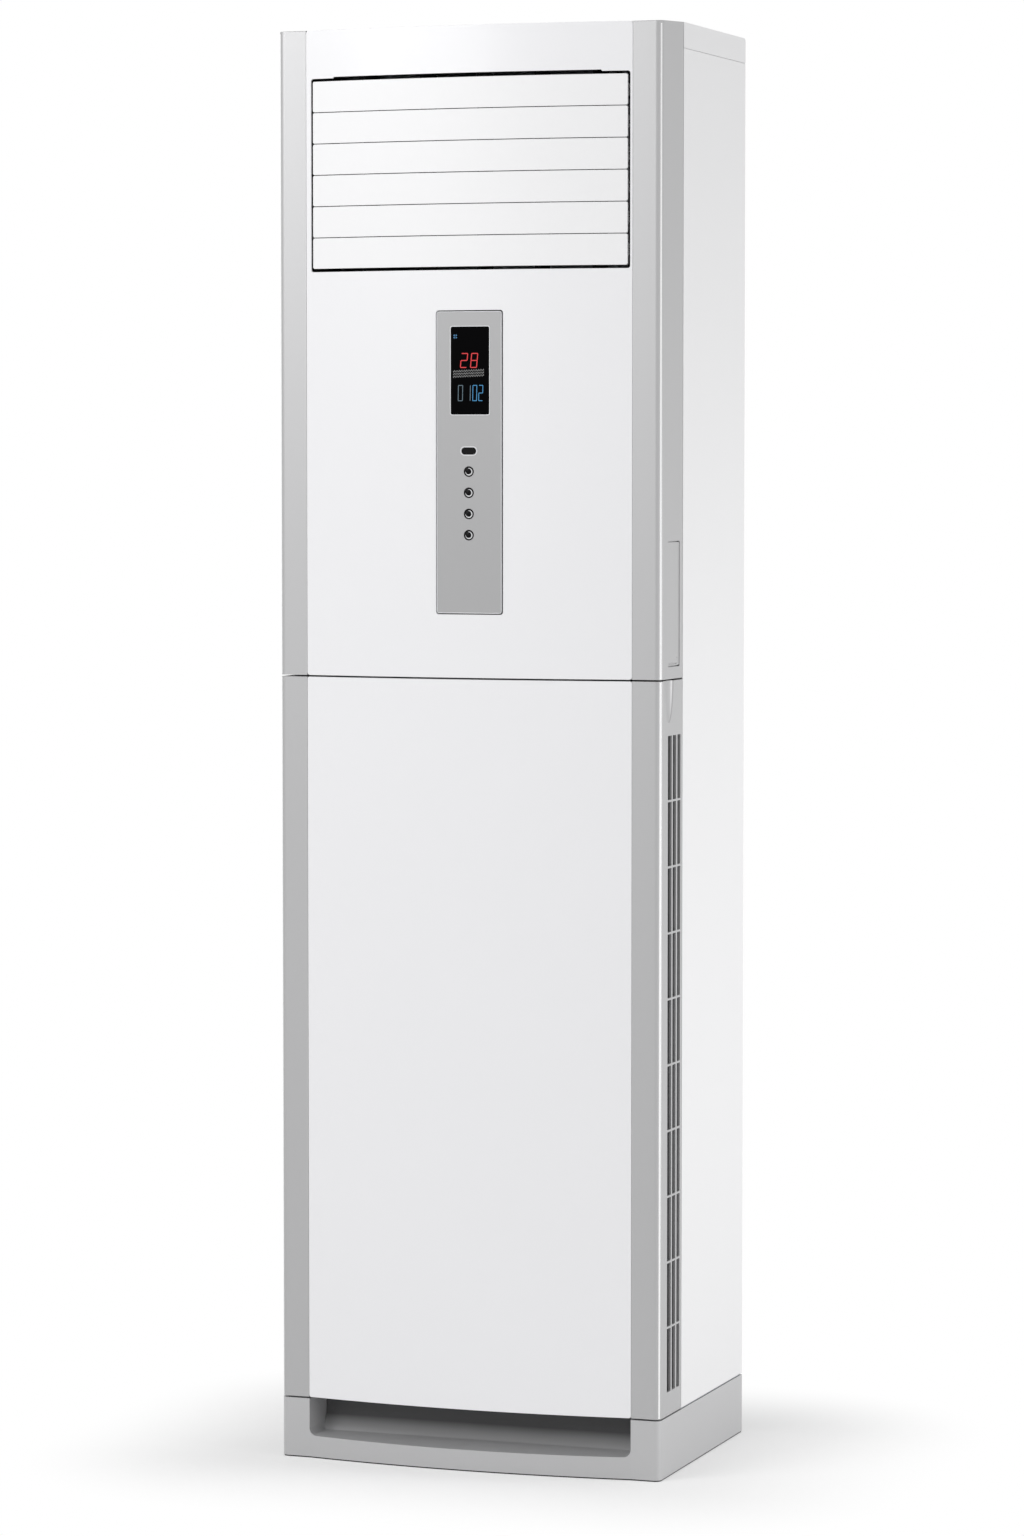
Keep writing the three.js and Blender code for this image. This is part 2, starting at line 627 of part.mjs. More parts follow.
// side outline of the cabinet's head, lowered by drop
function headProfile(drop) {
  const slope = (HEIGHT - FRONT_TOP) / PILLAR_DEPTH;
  const front = -BULGE - CUT;
  const edge = REAR_EDGE_RADIUS;
  const round = arcPoints(BODY_DEPTH - edge, HEIGHT - drop - edge, edge, Math.PI / 2, 0);
  const top = [[front, FRONT_TOP - drop + slope * front], [PILLAR_DEPTH, HEIGHT - drop], ...round];
  return polygon([[front, 0], ...top, [BODY_DEPTH, 0]]);
}

function makeTopCover() {
  const behind = block(-SIDE, SIDE, SIDE_FRONT, BODY_DEPTH, SKIRT_Z, HEIGHT);
  const tongueInset = SHELL + FIT;
  const tongue = bowedBlock(-PANEL_X, PANEL_X, tongueInset, SIDE_FRONT + CUT);
  const body = joined(behind, prismZ(tongue, SKIRT_Z, HEIGHT))
    .intersect(prismX(headProfile(0), -SIDE, SIDE));
  const wall = SHELL;
  const under = prismX(headProfile(wall), -SIDE, SIDE);
  const rearHollow = block(
    -SIDE + wall, SIDE - wall, SIDE_FRONT + wall, BODY_DEPTH - wall, SKIRT_Z - CUT, HEIGHT);
  const frontHollow = block(
    -PANEL_X + wall, PANEL_X - wall, -BULGE - CUT, SIDE_FRONT + 2 * wall, SKIRT_Z - CUT, HEIGHT);
  const hollow = joined(rearHollow, frontHollow).intersect(under);
  add('top_cover', without(body, hollow), SIDE_SHEET);
}

// ---- Bowed front panels ----
function panelBody(foot, top, returns) {
  const plate = prismZ(bowedPlate(-PANEL_X, PANEL_X, 0, SHELL), foot, top);
  const shelf = prismZ(bowedBlock(-PANEL_X, PANEL_X, 0, PANEL_RETURN), foot, foot + SHELL);
  const rims = returns.flatMap(([z0, z1]) => [-1, 1].map((side) =>
    block(side * PANEL_X, side * (PANEL_X - SHELL), SHELL / 2, PANEL_RETURN, z0, z1)));
  return joined(plate, shelf, ...rims);
}

function makeUpperPanel() {
  const ahead = -BULGE - CUT;
  const rimTop = DUCT_BOTTOM - SEAM;
  const body = panelBody(UPPER_FOOT, FRONT_TOP, [[UPPER_FOOT, rimTop]]);
  const outlet = block(-OUTLET_HALF, OUTLET_HALF, ahead, PANEL_RETURN + CUT, OUTLET_Z0, OUTLET_Z1);
  const notch = block(
    -OUTLET_NOTCH_HALF, OUTLET_NOTCH_HALF, ahead, PANEL_RETURN, OUTLET_Z1 - CUT, OUTLET_Z1 + OUTLET_NOTCH);
  const fascia = block(
    FASCIA_X[0] - FIT, FASCIA_X[1] + FIT, ahead, 0, FASCIA_Z[0] - FIT, FASCIA_Z[1] + FIT);
  add('upper_front_panel', without(body, outlet, notch, fascia), WHITE_PANEL);
}

function pillarPlan(side, inset, rear) {
  const cornerX = SIDE - CORNER_RADIUS;
  const corner = arcPoints(cornerX, CORNER_RADIUS, CORNER_RADIUS - inset, 1.5 * Math.PI, 2 * Math.PI);
  const inner = PANEL_HALF + inset;
  const points = [[inner, inset], ...corner, [SIDE - inset, rear], [inner, rear]];
  return polygon(points.map(([x, y]) => [side * x, y]));
}

function innerWallCut(side, y0, z0, z1) {
  const past = PILLAR_DEPTH + CUT;
  return block(side * (PANEL_HALF - CUT), side * (PANEL_HALF + SHELL + CUT), y0, past, z0, z1);
}

function makeUpperPillar(name, side) {
  const foot = UPPER_FOOT + SHELL;
  const body = prismZ(pillarPlan(side, 0, PILLAR_DEPTH), UPPER_FOOT, HEIGHT)
    .intersect(prismX(headProfile(0), -SIDE, SIDE));
  const hollow = prismZ(pillarPlan(side, SHELL, PILLAR_DEPTH + CUT), foot, HEIGHT)
    .intersect(prismX(headProfile(SHELL), -SIDE, SIDE));
  const behind = innerWallCut(side, PILLAR_RETURN, foot, SKIRT_Z);
  const cranks = innerWallCut(side, SHELL + CUT, DUCT_BOTTOM - SEAM, DUCT_TOP + SEAM);
  const grip = block(side * (SIDE + CUT), side * (SIDE - SHELL - CUT), ...INSET_Y, ...INSET_Z);
  add(name, without(body, hollow, behind, cranks, grip), GREY_SHELL);
}

function makeGripInset(name, side) {
  const back = SIDE - SHELL - FIT;
  const face = block(
    side * (back - CUT), side * (SIDE - INSET_STEP),
    INSET_Y[0] + FIT, INSET_Y[1] - FIT, INSET_Z[0] + FIT, INSET_Z[1] - FIT);
  const lap = block(
    side * (back - SHELL / 2), side * back,
    INSET_Y[0] - INSET_LAP, INSET_Y[1] + INSET_LAP, INSET_Z[0] - INSET_LAP, INSET_Z[1] + INSET_LAP);
  add(name, joined(face, lap), GREY_SHELL);
}

// ---- Door ----
const door = groupAt(0, 0, 0);

function ventCuts(side) {
  const cell = (VENT_Z1 - VENT_Z0 - VENT_RIB * (VENT_ROWS - 1)) / VENT_ROWS;
  const cuts = [];
  for (let row = 0; row < VENT_ROWS; row += 1) {
    const z = VENT_Z0 + row * (cell + VENT_RIB);
    for (const [y0, y1] of VENT_COLUMNS) {
      cuts.push(block(side * (SIDE + CUT), side * (SIDE - VENT_CUT), y0, y1, z, z + cell));
    }
  }
  return cuts;
}

function makeDoorPillar(name, side) {
  const foot = DOOR_FOOT + SHELL;
  const roof = DOOR_TOP - SHELL;
  const body = prismZ(pillarPlan(side, 0, PILLAR_DEPTH), DOOR_FOOT, DOOR_TOP);
  const hollow = prismZ(pillarPlan(side, SHELL, PILLAR_DEPTH + CUT), foot, roof);
  const shell = without(body, hollow, innerWallCut(side, PILLAR_RETURN, foot, roof));
  return add(name, side < 0 ? hingeSide(shell) : pullSide(shell), GREY_SHELL, door);
}

function hingeSide(shell) {
  const corner = block(
    -SIDE - CUT, HINGE_X, HINGE_Y, PILLAR_DEPTH + CUT, DOOR_FOOT - CUT, DOOR_TOP + CUT);
  const bead = rod('z', HINGE_INSET, DOOR_FOOT, DOOR_TOP, HINGE_X, HINGE_Y);
  const hole = (z0, z1) => rod('z', HINGE_PIN_RADIUS + PIN_PLAY, z0, z1, HINGE_X, HINGE_Y);
  const lower = hole(DOOR_FOOT - CUT, DOOR_FOOT + HINGE_HOLE_DEPTH);
  const upper = hole(DOOR_TOP - HINGE_HOLE_DEPTH, DOOR_TOP + CUT);
  return without(joined(without(shell, corner), bead), lower, upper, ...ventCuts(-1));
}

function pullSide(shell) {
  const [rx, ry, rz] = SCOOP_RADII;
  const backing = block(
    SIDE - SHELL / 2, SIDE - SCOOP_BACKING, SCOOP_Y - ry - SEAM, SCOOP_Y + ry + SEAM,
    DOOR_TOP - rz, DOOR_TOP);
  const ball = new THREE.SphereGeometry(1, ROUND_STEPS, ROUND_STEPS / 2);
  const scoop = toSolid(ball.scale(rx, ry, rz).translate(SIDE, SCOOP_Y, DOOR_TOP + SHELL));
  return without(joined(shell, backing), scoop, ...ventCuts(1));
}

function makeDoorPanel() {
  const body = panelBody(DOOR_FOOT, DOOR_TOP, [[DOOR_FOOT, DOOR_TOP]]);
  const head = prismZ(
    bowedBlock(-PANEL_X, PANEL_X, 0, PANEL_RETURN), DOOR_TOP - SHELL, DOOR_TOP);
  add('door_panel', joined(body, head), WHITE_PANEL, door);
}

function makeHingePins() {
  const pin = (z0, z1) => rod('z', HINGE_PIN_RADIUS, z0, z1, HINGE_X, HINGE_Y);
  const washer = (z0, z1) => rod('z', HINGE_INSET - CUT, z0, z1, HINGE_X, HINGE_Y);
  const low = PLINTH_TOP + FIT;
  const high = UPPER_FOOT - FIT;
  const lower = joined(pin(low, DOOR_FOOT + HINGE_PIN_LENGTH), washer(low, DOOR_FOOT - FIT));
  const upper = joined(pin(DOOR_TOP - HINGE_PIN_LENGTH, high), washer(DOOR_TOP + FIT, high));
  add('hinge_pin_lower', lower, STEEL);
  add('hinge_pin_upper', upper, STEEL);
}

// ---- Control fascia, window, board and buttons ----
function buttonOutline(x, z, halfLength, radius) {
  const reach = halfLength - radius;
  if (reach < CUT) return polygon(arcPoints(x, z, radius, 0, 1.9 * Math.PI, ROUND_STEPS - 1));
  return stadium(x - reach, z, x + reach, z, radius);
}

const BUTTONS = [
  { name: 'power_button', z: POWER_Z, half: POWER_HALF_LENGTH, radius: POWER_RADIUS },
  ...ROUND_BUTTONS.map((name, index) => ({
    name,
    z: POWER_Z - FIRST_BUTTON_DROP - index * BUTTON_PITCH,
    half: BUTTON_RADIUS,
    radius: BUTTON_RADIUS,
  })),
];

function makeFascia() {
  const rear = FASCIA_FACE + FASCIA_DEPTH;
  const [x0, x1] = FASCIA_X;
  const [z0, z1] = FASCIA_Z;
  const body = block(x0, x1, FASCIA_FACE, rear, z0, z1);
  const lap = block(
    x0 - FASCIA_LAP, x1 + FASCIA_LAP, rear - FASCIA_WALL + CUT, rear, z0 - FASCIA_LAP, z1 + FASCIA_LAP);
  const hollow = block(
    x0 + FASCIA_WALL, x1 - FASCIA_WALL, FASCIA_INNER, rear + CUT, z0 + FASCIA_WALL, z1 - FASCIA_WALL);
  const window = block(...WINDOW_X, FASCIA_FACE - CUT, rear, ...WINDOW_Z);
  const holes = BUTTONS.map(({ z, half, radius }) => {
    const outline = buttonOutline(BUTTON_X, z, half + BUTTON_PLAY, radius + BUTTON_PLAY);
    return prismY(outline, FASCIA_FACE - CUT, rear);
  });
  const posts = [x0 + 2 * FASCIA_WALL, x1 - 2 * FASCIA_WALL].flatMap((x) =>
    [z0 + 3 * FASCIA_WALL, z1 - 3 * FASCIA_WALL].map((z) =>
      rod('y', FASCIA_WALL, FASCIA_INNER - CUT, BOARD_Y - FIT, x, z, PIN_STEPS)));
  const shell = without(joined(body, lap), hollow, window, ...holes);
  add('control_fascia', joined(shell, ...posts), GREY_SHELL);
}

function makeWindow() {
  const inner = FASCIA_INNER + FIT;
  const pane = block(
    WINDOW_X[0] + FIT, WINDOW_X[1] - FIT, FASCIA_FACE, inner + CUT, WINDOW_Z[0] + FIT, WINDOW_Z[1] - FIT);
  const lap = block(
    WINDOW_X[0] - WINDOW_LAP, WINDOW_X[1] + WINDOW_LAP, inner, inner + CUT,
    WINDOW_Z[0] - WINDOW_LAP, WINDOW_Z[1] + WINDOW_LAP);
  add('display_window', joined(pane, lap), BLACK_WINDOW);
}

function makeDisplayBoard() {
  const inset = 2 * FASCIA_WALL - CUT;
  const board = block(
    FASCIA_X[0] + inset, FASCIA_X[1] - inset, BOARD_Y, BOARD_Y + BOARD_WALL,
    FASCIA_Z[0] + inset, FASCIA_Z[1] - inset);
  const keys = BUTTONS.map(({ z }) =>
    block(BUTTON_X - 3, BUTTON_X + 3, BOARD_Y - SWITCH_HEIGHT, BOARD_Y + CUT, z - 3, z + 3));
  const lamp = block(
    WINDOW_X[0] + SEAM, WINDOW_X[1] - SEAM, FASCIA_INNER + FIT + CUT + FIT, BOARD_Y + CUT,
    WINDOW_Z[0] + SEAM, WINDOW_Z[1] - SEAM);
  add('display_board', joined(board, lamp, ...keys), BOARD_GREEN);
}

function makeButton({ name, z, half, radius }) {
  const inner = FASCIA_INNER + FIT;
  const cap = prismY(buttonOutline(0, 0, half, radius), FASCIA_FACE - BUTTON_PROUD, inner + CUT);
  const lap = prismY(buttonOutline(0, 0, half + BUTTON_LAP, radius + BUTTON_LAP), inner, inner + CUT);
  const stemEnd = BOARD_Y - SWITCH_HEIGHT - BUTTON_TRAVEL - FIT;
  const stem = rod('y', 2, inner, stemEnd, 0, 0, PIN_STEPS);
  add(name, joined(cap, lap, stem), KEY_GREY, groupAt(BUTTON_X, 0, z));
}

// ---- Air outlet ----
function louvreZ(index) {
  return OUTLET_Z1 - LOUVRE_EDGE_GAP - (index + 0.5) * LOUVRE_PITCH;
}

function vaneX(index) {
  return (index - (VANE_COUNT - 1) / 2) * VANE_PITCH;
}

const louvreIndexes = Array.from({ length: LOUVRE_COUNT }, (_, index) => index);
const vaneIndexes = Array.from({ length: VANE_COUNT }, (_, index) => index);
const DRIVEN_LOUVRE = Math.floor(LOUVRE_COUNT / 2) - 1;
const DRIVEN_VANE = VANE_COUNT - 1;

function makeOutletFrame() {
  const plan = bowedBlock(-DUCT_OUTER, DUCT_OUTER, SHELL + FIT, DUCT_REAR);
  const body = prismZ(plan, DUCT_BOTTOM, DUCT_TOP);
  const passage = block(-DUCT_SIDE, DUCT_SIDE, -BULGE, DUCT_REAR + CUT, DUCT_Z0, DUCT_Z1);
  const louvreHoles = louvreIndexes.map((index) => rod(
    'x', LOUVRE_PIN_RADIUS + PIN_PLAY, -DUCT_OUTER - CUT, DUCT_OUTER + CUT,
    LOUVRE_PIVOT_Y, louvreZ(index), PIN_STEPS));
  const vaneHoles = vaneIndexes.map((index) => rod(
    'z', VANE_PIN_RADIUS + PIN_PLAY, DUCT_BOTTOM - CUT, DUCT_TOP + CUT, vaneX(index), VANE_PIVOT_Y,
    PIN_STEPS));
  add('outlet_frame', without(body, passage, ...louvreHoles, ...vaneHoles), DARK_PLASTIC);
}

function makeLouvre(index) {
  const half = LOUVRE_HEIGHT / 2;
  const strip = prismZ(bowedPlate(-LOUVRE_HALF, LOUVRE_HALF, 0, LOUVRE_WALL), -half, half)
    .translate(0, -LOUVRE_PIVOT_Y, 0);
  const lugFront = frontAt(LOUVRE_HALF) + LOUVRE_WALL / 2 - LOUVRE_PIVOT_Y;
  const lug = polygon([[lugFront, -half / 2], [CRANK_HALF_WIDTH, -CRANK_HALF_WIDTH],
    [CRANK_HALF_WIDTH, CRANK_HALF_WIDTH], [lugFront, half / 2]]);
  const lugs = [prismX(lug, -LOUVRE_HALF, LUG_WALL - LOUVRE_HALF),
    prismX(lug, LOUVRE_HALF - LUG_WALL, LOUVRE_HALF)];
  const pin = (x0, x1) => rod('x', LOUVRE_PIN_RADIUS, x0, x1, 0, 0, PIN_STEPS);
  const leftPin = pin(CRANK_X - CUT, CUT - LOUVRE_HALF);
  const rightPin = pin(LOUVRE_HALF - CUT, DUCT_OUTER + CUT);
  const crank = prismX(
    stadium(0, 0, CRANK_ARM, 0, CRANK_HALF_WIDTH), CRANK_X - CRANK_WALL, CRANK_X);
  const crankPin = rod(
    'x', CRANK_PIN_RADIUS, LINK_X - LINK_WALL - CUT, CRANK_X - CUT, CRANK_ARM, 0, PIN_STEPS);
  const solid = joined(strip, ...lugs, leftPin, rightPin, crank, crankPin);
  add(`louvre_${index + 1}`, solid, LOUVRE_WHITE, groupAt(0, LOUVRE_PIVOT_Y, louvreZ(index)));
}

function makeLouvreLink() {
  const y = LOUVRE_PIVOT_Y + CRANK_ARM;
  const first = louvreZ(0);
  const last = louvreZ(LOUVRE_COUNT - 1);
  const bar = prismX(stadium(y, last, y, first, LINK_HALF_WIDTH), LINK_X - LINK_WALL, LINK_X);
  const holes = louvreIndexes.map((index) => rod(
    'x', CRANK_PIN_RADIUS + PIN_PLAY, LINK_X - LINK_WALL - CUT, LINK_X + CUT, y, louvreZ(index), PIN_STEPS));
  add('louvre_link', without(bar, ...holes), KEY_GREY);
}

function makeLouvreMotor() {
  const x = DUCT_OUTER + FIT;
  const z = louvreZ(DRIVEN_LOUVRE);
  const end = x + LOUVRE_MOTOR_WIDTH;
  const gearbox = block(
    x, end, SHELL + CUT + FIT, LOUVRE_MOTOR_REAR, z - LOUVRE_MOTOR_HALF, z + LOUVRE_MOTOR_HALF);
  const can = rod('x', LOUVRE_CAN_RADIUS, end - CUT, end - CUT + LOUVRE_CAN_LENGTH, LOUVRE_CAN_Y, z);
  const socket = rod(
    'x', LOUVRE_PIN_RADIUS + PIN_PLAY, x - CUT, x + CUT + FIT, LOUVRE_PIVOT_Y, z, PIN_STEPS);
  add('louvre_motor', without(joined(gearbox, can), socket), STEEL);
}

function makeVane(index) {
  const gap = SEAM;
  const blade = block(
    -VANE_WALL / 2, VANE_WALL / 2, -VANE_FRONT, VANE_REAR, DUCT_Z0 + gap, DUCT_Z1 - gap);
  const drop = index === DRIVEN_VANE ? DUCT_BOTTOM - VANE_MOTOR_DROP - SEAM : VANE_CRANK_Z - CUT;
  const pin = (z0, z1) => rod('z', VANE_PIN_RADIUS, z0, z1, 0, 0, PIN_STEPS);
  const lower = pin(drop, DUCT_Z0 + gap + CUT);
  const upper = pin(DUCT_Z1 - gap - CUT, DUCT_TOP - FIT);
  const crank = prismZ(
    stadium(0, 0, 0, VANE_CRANK_ARM, CRANK_HALF_WIDTH), VANE_CRANK_Z - CRANK_WALL, VANE_CRANK_Z);
  const crankPin = rod('z', CRANK_PIN_RADIUS, VANE_LINK_Z - LINK_WALL - CUT, VANE_CRANK_Z - CUT,
    0, VANE_CRANK_ARM, PIN_STEPS);
  const solid = joined(blade, lower, upper, crank, crankPin);
  add(`vane_${index + 1}`, solid, DARK_PLASTIC, groupAt(vaneX(index), VANE_PIVOT_Y, 0));
}

function makeVaneLink() {
  const y = VANE_PIVOT_Y + VANE_CRANK_ARM;
  const z = VANE_LINK_Z - LINK_WALL;
  const bar = prismZ(
    stadium(vaneX(0), y, vaneX(VANE_COUNT - 1), y, LINK_HALF_WIDTH), z, VANE_LINK_Z);
  const holes = vaneIndexes.map((index) => rod(
    'z', CRANK_PIN_RADIUS + PIN_PLAY, z - CUT, VANE_LINK_Z + CUT, vaneX(index), y, PIN_STEPS));
  add('vane_link', without(bar, ...holes), KEY_GREY);
}

function makeVaneMotor() {
  const x = vaneX(DRIVEN_VANE);
  const top = DUCT_BOTTOM - VANE_MOTOR_DROP;
  const can = rod('z', VANE_MOTOR_RADIUS, top - VANE_MOTOR_HEIGHT, top, x, VANE_PIVOT_Y);
  const earFront = VANE_PIVOT_Y - VANE_MOTOR_RADIUS + CUT;
  const ears = [-1, 1].map((side) => block(
    x + side * VANE_EAR[0], x + side * VANE_EAR[1], earFront, earFront + VANE_EAR_DEPTH,
    top - VANE_MOTOR_HEIGHT, DUCT_BOTTOM - FIT));
  const socket = rod(
    'z', VANE_PIN_RADIUS + PIN_PLAY, top - SEAM - FIT, top + CUT, x, VANE_PIVOT_Y, PIN_STEPS);
  add('vane_motor', without(joined(can, ...ears), socket), STEEL);
}

// ---- Chambers ----
function makeDeck() {
  const front = COIL_COVER_Y + SHEET + FIT;
  const sheet = block(-SHEET_INNER, SHEET_INNER, front, INNER_REAR, DECK_Z, DECK_TOP);
  const [left, right] = ductSides(HOUSING_WALL);
  const air = block(left, right, ...HOUSING_Y, DECK_Z - CUT, DECK_TOP + CUT);
  const hole = (radius, x, y) => rod('z', radius + PIPE_HOLE_PLAY, DECK_Z - CUT, DECK_TOP + CUT, x, y);
  const gas = hole(GAS_RADIUS, PIPE_X, GAS_DROP_Y);
  const liquid = hole(LIQUID_RADIUS, PIPE_X, LIQUID_DROP_Y);
  const drain = hole(DRAIN_RADIUS - SEAM, DRAIN_X, DRAIN_Y);
  add('partition_deck', without(sheet, air, gas, liquid, drain), ZINC_SHEET);
}

function makeCoilCover() {
  const foot = DECK_Z - 2 * SHELL;
  const rear = COIL_COVER_Y + SHEET;
  const sheet = block(-SHEET_INNER, SHEET_INNER, COIL_COVER_Y, rear, foot, COIL_COVER_TOP);
  add('coil_cover', sheet, ZINC_SHEET);
}

function makeGrille() {
  const foot = PAN_LIP_Z + FIT;
  const top = DECK_Z - 2 * SHELL - FIT;
  const plate = block(
    -GRILLE_HALF, GRILLE_HALF, GRILLE_REAR - GRILLE_WALL, GRILLE_REAR, foot, top);
  const rails = [-1, 1].flatMap((side) => {
    const outer = side * GRILLE_HALF;
    const rail = block(outer, side * (GRILLE_HALF - GRILLE_RAIL), GRILLE_FRONT, GRILLE_REAR, foot, top);
    const lip = block(
      outer, side * (GRILLE_HALF - GRILLE_LIP), GRILLE_FRONT, GRILLE_FRONT + GRILLE_LIP_WALL, foot, top);
    return [rail, lip];
  });
  const ledge = block(
    -GRILLE_HALF, GRILLE_HALF, GRILLE_FRONT, GRILLE_REAR, foot, foot + GRILLE_RAIL);
  const rim = GRILLE_LIP + GRILLE_BAR;
  const cellX = (2 * (GRILLE_HALF - rim) + GRILLE_BAR) / GRILLE_COLUMNS;
  const cellZ = (top - foot - 2 * rim + GRILLE_BAR) / GRILLE_ROWS;
  const holes = [];
  for (let column = 0; column < GRILLE_COLUMNS; column += 1) {
    for (let row = 0; row < GRILLE_ROWS; row += 1) {
      const x = -GRILLE_HALF + rim + column * cellX;
      const z = foot + rim + row * cellZ;
      holes.push(block(
        x, x + cellX - GRILLE_BAR, GRILLE_REAR - GRILLE_WALL - CUT, GRILLE_REAR + CUT,
        z, z + cellZ - GRILLE_BAR));
    }
  }
  add('intake_grille', without(joined(plate, ...rails, ledge), ...holes), DARK_PLASTIC);
}

function makeFilter() {
  const half = GRILLE_HALF - GRILLE_RAIL - FIT;
  const front = GRILLE_FRONT + GRILLE_LIP_WALL + FIT;
  const foot = PAN_LIP_Z + FIT + GRILLE_RAIL + FIT;
  const top = DECK_Z - 2 * SHELL - SEAM;
  const frame = block(-half, half, front, front + FILTER_WALL, foot, top);
  const meshGap = (FILTER_WALL - FILTER_MESH) / 2;
  const middle = (foot + top) / 2;
  const pockets = [];
  for (const [z0, z1] of [[foot + FILTER_RIM, middle - FILTER_RIM / 2],
    [middle + FILTER_RIM / 2, top - FILTER_RIM]]) {
    for (const side of [-1, 1]) {
      const xs = [side * (half - FILTER_RIM), side * (FILTER_RIM / 2)];
      pockets.push(block(...xs, front - CUT, front + meshGap, z0, z1));
      pockets.push(block(...xs, front + FILTER_WALL - meshGap, front + FILTER_WALL + CUT, z0, z1));
    }
  }
  const tab = block(-FILTER_TAB, FILTER_TAB, GRILLE_FRONT + FIT, front + CUT, top - FILTER_RIM, top);
  add('air_filter', joined(without(frame, ...pockets), tab), FILTER_BLUE);
}

// ---- Blower ----
function scrollOutline(inset, top) {
  const points = [];
  for (let i = 0; i <= SCROLL_STEPS; i += 1) {
    const share = i / SCROLL_STEPS;
    const angle = SCROLL_START + (2 * Math.PI - SCROLL_START) * share;
    const radius = SCROLL_RADII[0] + (SCROLL_RADII[1] - SCROLL_RADII[0]) * share - inset;
    points.push([FAN_X + radius * Math.cos(angle), FAN_Z + radius * Math.sin(angle)]);
  }
  const [left, right] = ductSides(inset);
  return polygon([[left, top], [left, points[0][1] - inset], ...points, [right, top]]);
}

function ductSides(inset) {
  const left = FAN_X + SCROLL_RADII[0] * Math.cos(SCROLL_START) + inset;
  return [left, FAN_X + SCROLL_RADII[1] - inset];
}

function makeHousing() {
  const [front, rear] = HOUSING_Y;
  const body = prismY(scrollOutline(0, HOUSING_TOP), front, rear);
  const foot = PLINTH_TOP + FIT + SHEET + FIT;
  const legs = HOUSING_LEGS.map((x) => {
    const reach = FAN_Z - SCROLL_RADII[0] * 0.8;
    return block(x - LEG_WIDTH / 2, x + LEG_WIDTH / 2, front + LEG_INSET, rear - LEG_INSET, foot, reach);
  });
  const inner = scrollOutline(HOUSING_WALL, HOUSING_TOP + CUT);
  const hollow = prismY(inner, front - CUT, rear - HOUSING_WALL);
  const opening = rod('y', MOTOR_OPENING, rear - HOUSING_WALL - CUT, rear + CUT, FAN_X, FAN_Z, WHEEL_STEPS);
  add('blower_housing', without(joined(body, ...legs), hollow, opening), INNER_WHITE);
}

function makeBlowerFront() {
  const rear = HOUSING_Y[0] - FIT;
  const front = rear - SHELL;
  const plate = prismY(scrollOutline(0, HOUSING_TOP), front, rear);
  const eye = rod('y', EYE_RADIUS + EYE_WALL / 2, front - CUT, rear + CUT, FAN_X, FAN_Z, WHEEL_STEPS);
  const lip = WHEEL_Y[0] + SCOOP_BACKING / 2;
  const outer = EYE_RADIUS + EYE_WALL;
  const mouth = turnedY([
    [EYE_RADIUS, lip], [EYE_RADIUS, rear], [EYE_RADIUS + 3, front - 3], [outer + 9, front - 7],
    [outer + 9, front - 5], [outer + 2, front - 1], [outer, rear], [outer, lip],
  ], FAN_X, FAN_Z, WHEEL_STEPS);
  add('blower_front', joined(without(plate, eye), mouth), INNER_WHITE);
}

function makeFanWheel() {
  const [front, rear] = WHEEL_Y;
  const backPlate = rod('y', WHEEL_RADIUS, rear - WHEEL_PLATE, rear, 0, 0, WHEEL_STEPS);
  const ring = without(
    rod('y', WHEEL_RADIUS, front, front + 3, 0, 0, WHEEL_STEPS),
    rod('y', WHEEL_EYE, front - CUT, front + 4, 0, 0, WHEEL_STEPS));
  const middle = (WHEEL_EYE + WHEEL_RADIUS) / 2;
  const blades = [];
  for (let i = 0; i < BLADE_COUNT; i += 1) {
    const geometry = new THREE.BoxGeometry(BLADE_CHORD, rear - front - 2, BLADE_WALL);
    geometry.rotateY(BLADE_ANGLE).translate(middle, (front + rear) / 2, 0);
    blades.push(toSolid(geometry.rotateY((2 * Math.PI * i) / BLADE_COUNT)));
  }
  const nose = rear - HUB_LENGTH - SHAFT_NOSE;
  const hub = rod('y', HUB_RADIUS, rear - HUB_LENGTH, rear, 0, 0, WHEEL_STEPS);
  const shaft = rod('y', SHAFT_RADIUS, nose, MOTOR_Y[0] + SHAFT_SEAT, 0, 0, ROUND_STEPS);
  const wheel = joined(backPlate, ring, hub, shaft, ...blades);
  add('fan_wheel', wheel, DARK_PLASTIC, groupAt(FAN_X, 0, FAN_Z));
}

function makeFanMotor() {
  const [front, rear] = MOTOR_Y;
  const edge = 6;
  const body = turnedY([
    [0, front], [MOTOR_RADIUS, front], [MOTOR_RADIUS, rear - edge], [MOTOR_RADIUS - edge, rear], [0, rear],
  ], FAN_X, FAN_Z, WHEEL_STEPS);
  const bore = rod('y', SHAFT_RADIUS + PIN_PLAY, front - CUT, front + SHAFT_SEAT + SEAM, FAN_X, FAN_Z);
  add('fan_motor', without(body, bore), STEEL);
}

function makeMotorBracket() {
  const inner = MOTOR_RADIUS + FIT;
  const front = HOUSING_Y[1] + FIT;
  const back = front + COLLAR_PLATE;
  const ring = turnedY([
    [inner, front], [COLLAR_RADIUS, front], [COLLAR_RADIUS, back], [inner + COLLAR_WALL, back],
    [inner + COLLAR_WALL, COLLAR_REAR], [inner, COLLAR_REAR],
  ], FAN_X, FAN_Z, WHEEL_STEPS);
  add('motor_bracket', ring, ZINC_SHEET);
}

// ---- Coil and pipes ----
const coilFoot = PAN_FLOOR + FIT + (COIL_WALL / 2) * Math.sin(COIL_LEAN);
const coil = groupAt(0, COIL_FOOT_Y, coilFoot);
coil.rotation.x = -COIL_LEAN;

// cabinet place of a point on the coil's middle plane
function onCoil(along) {
  return [COIL_FOOT_Y + along * Math.sin(COIL_LEAN), coilFoot + along * Math.cos(COIL_LEAN)];
}

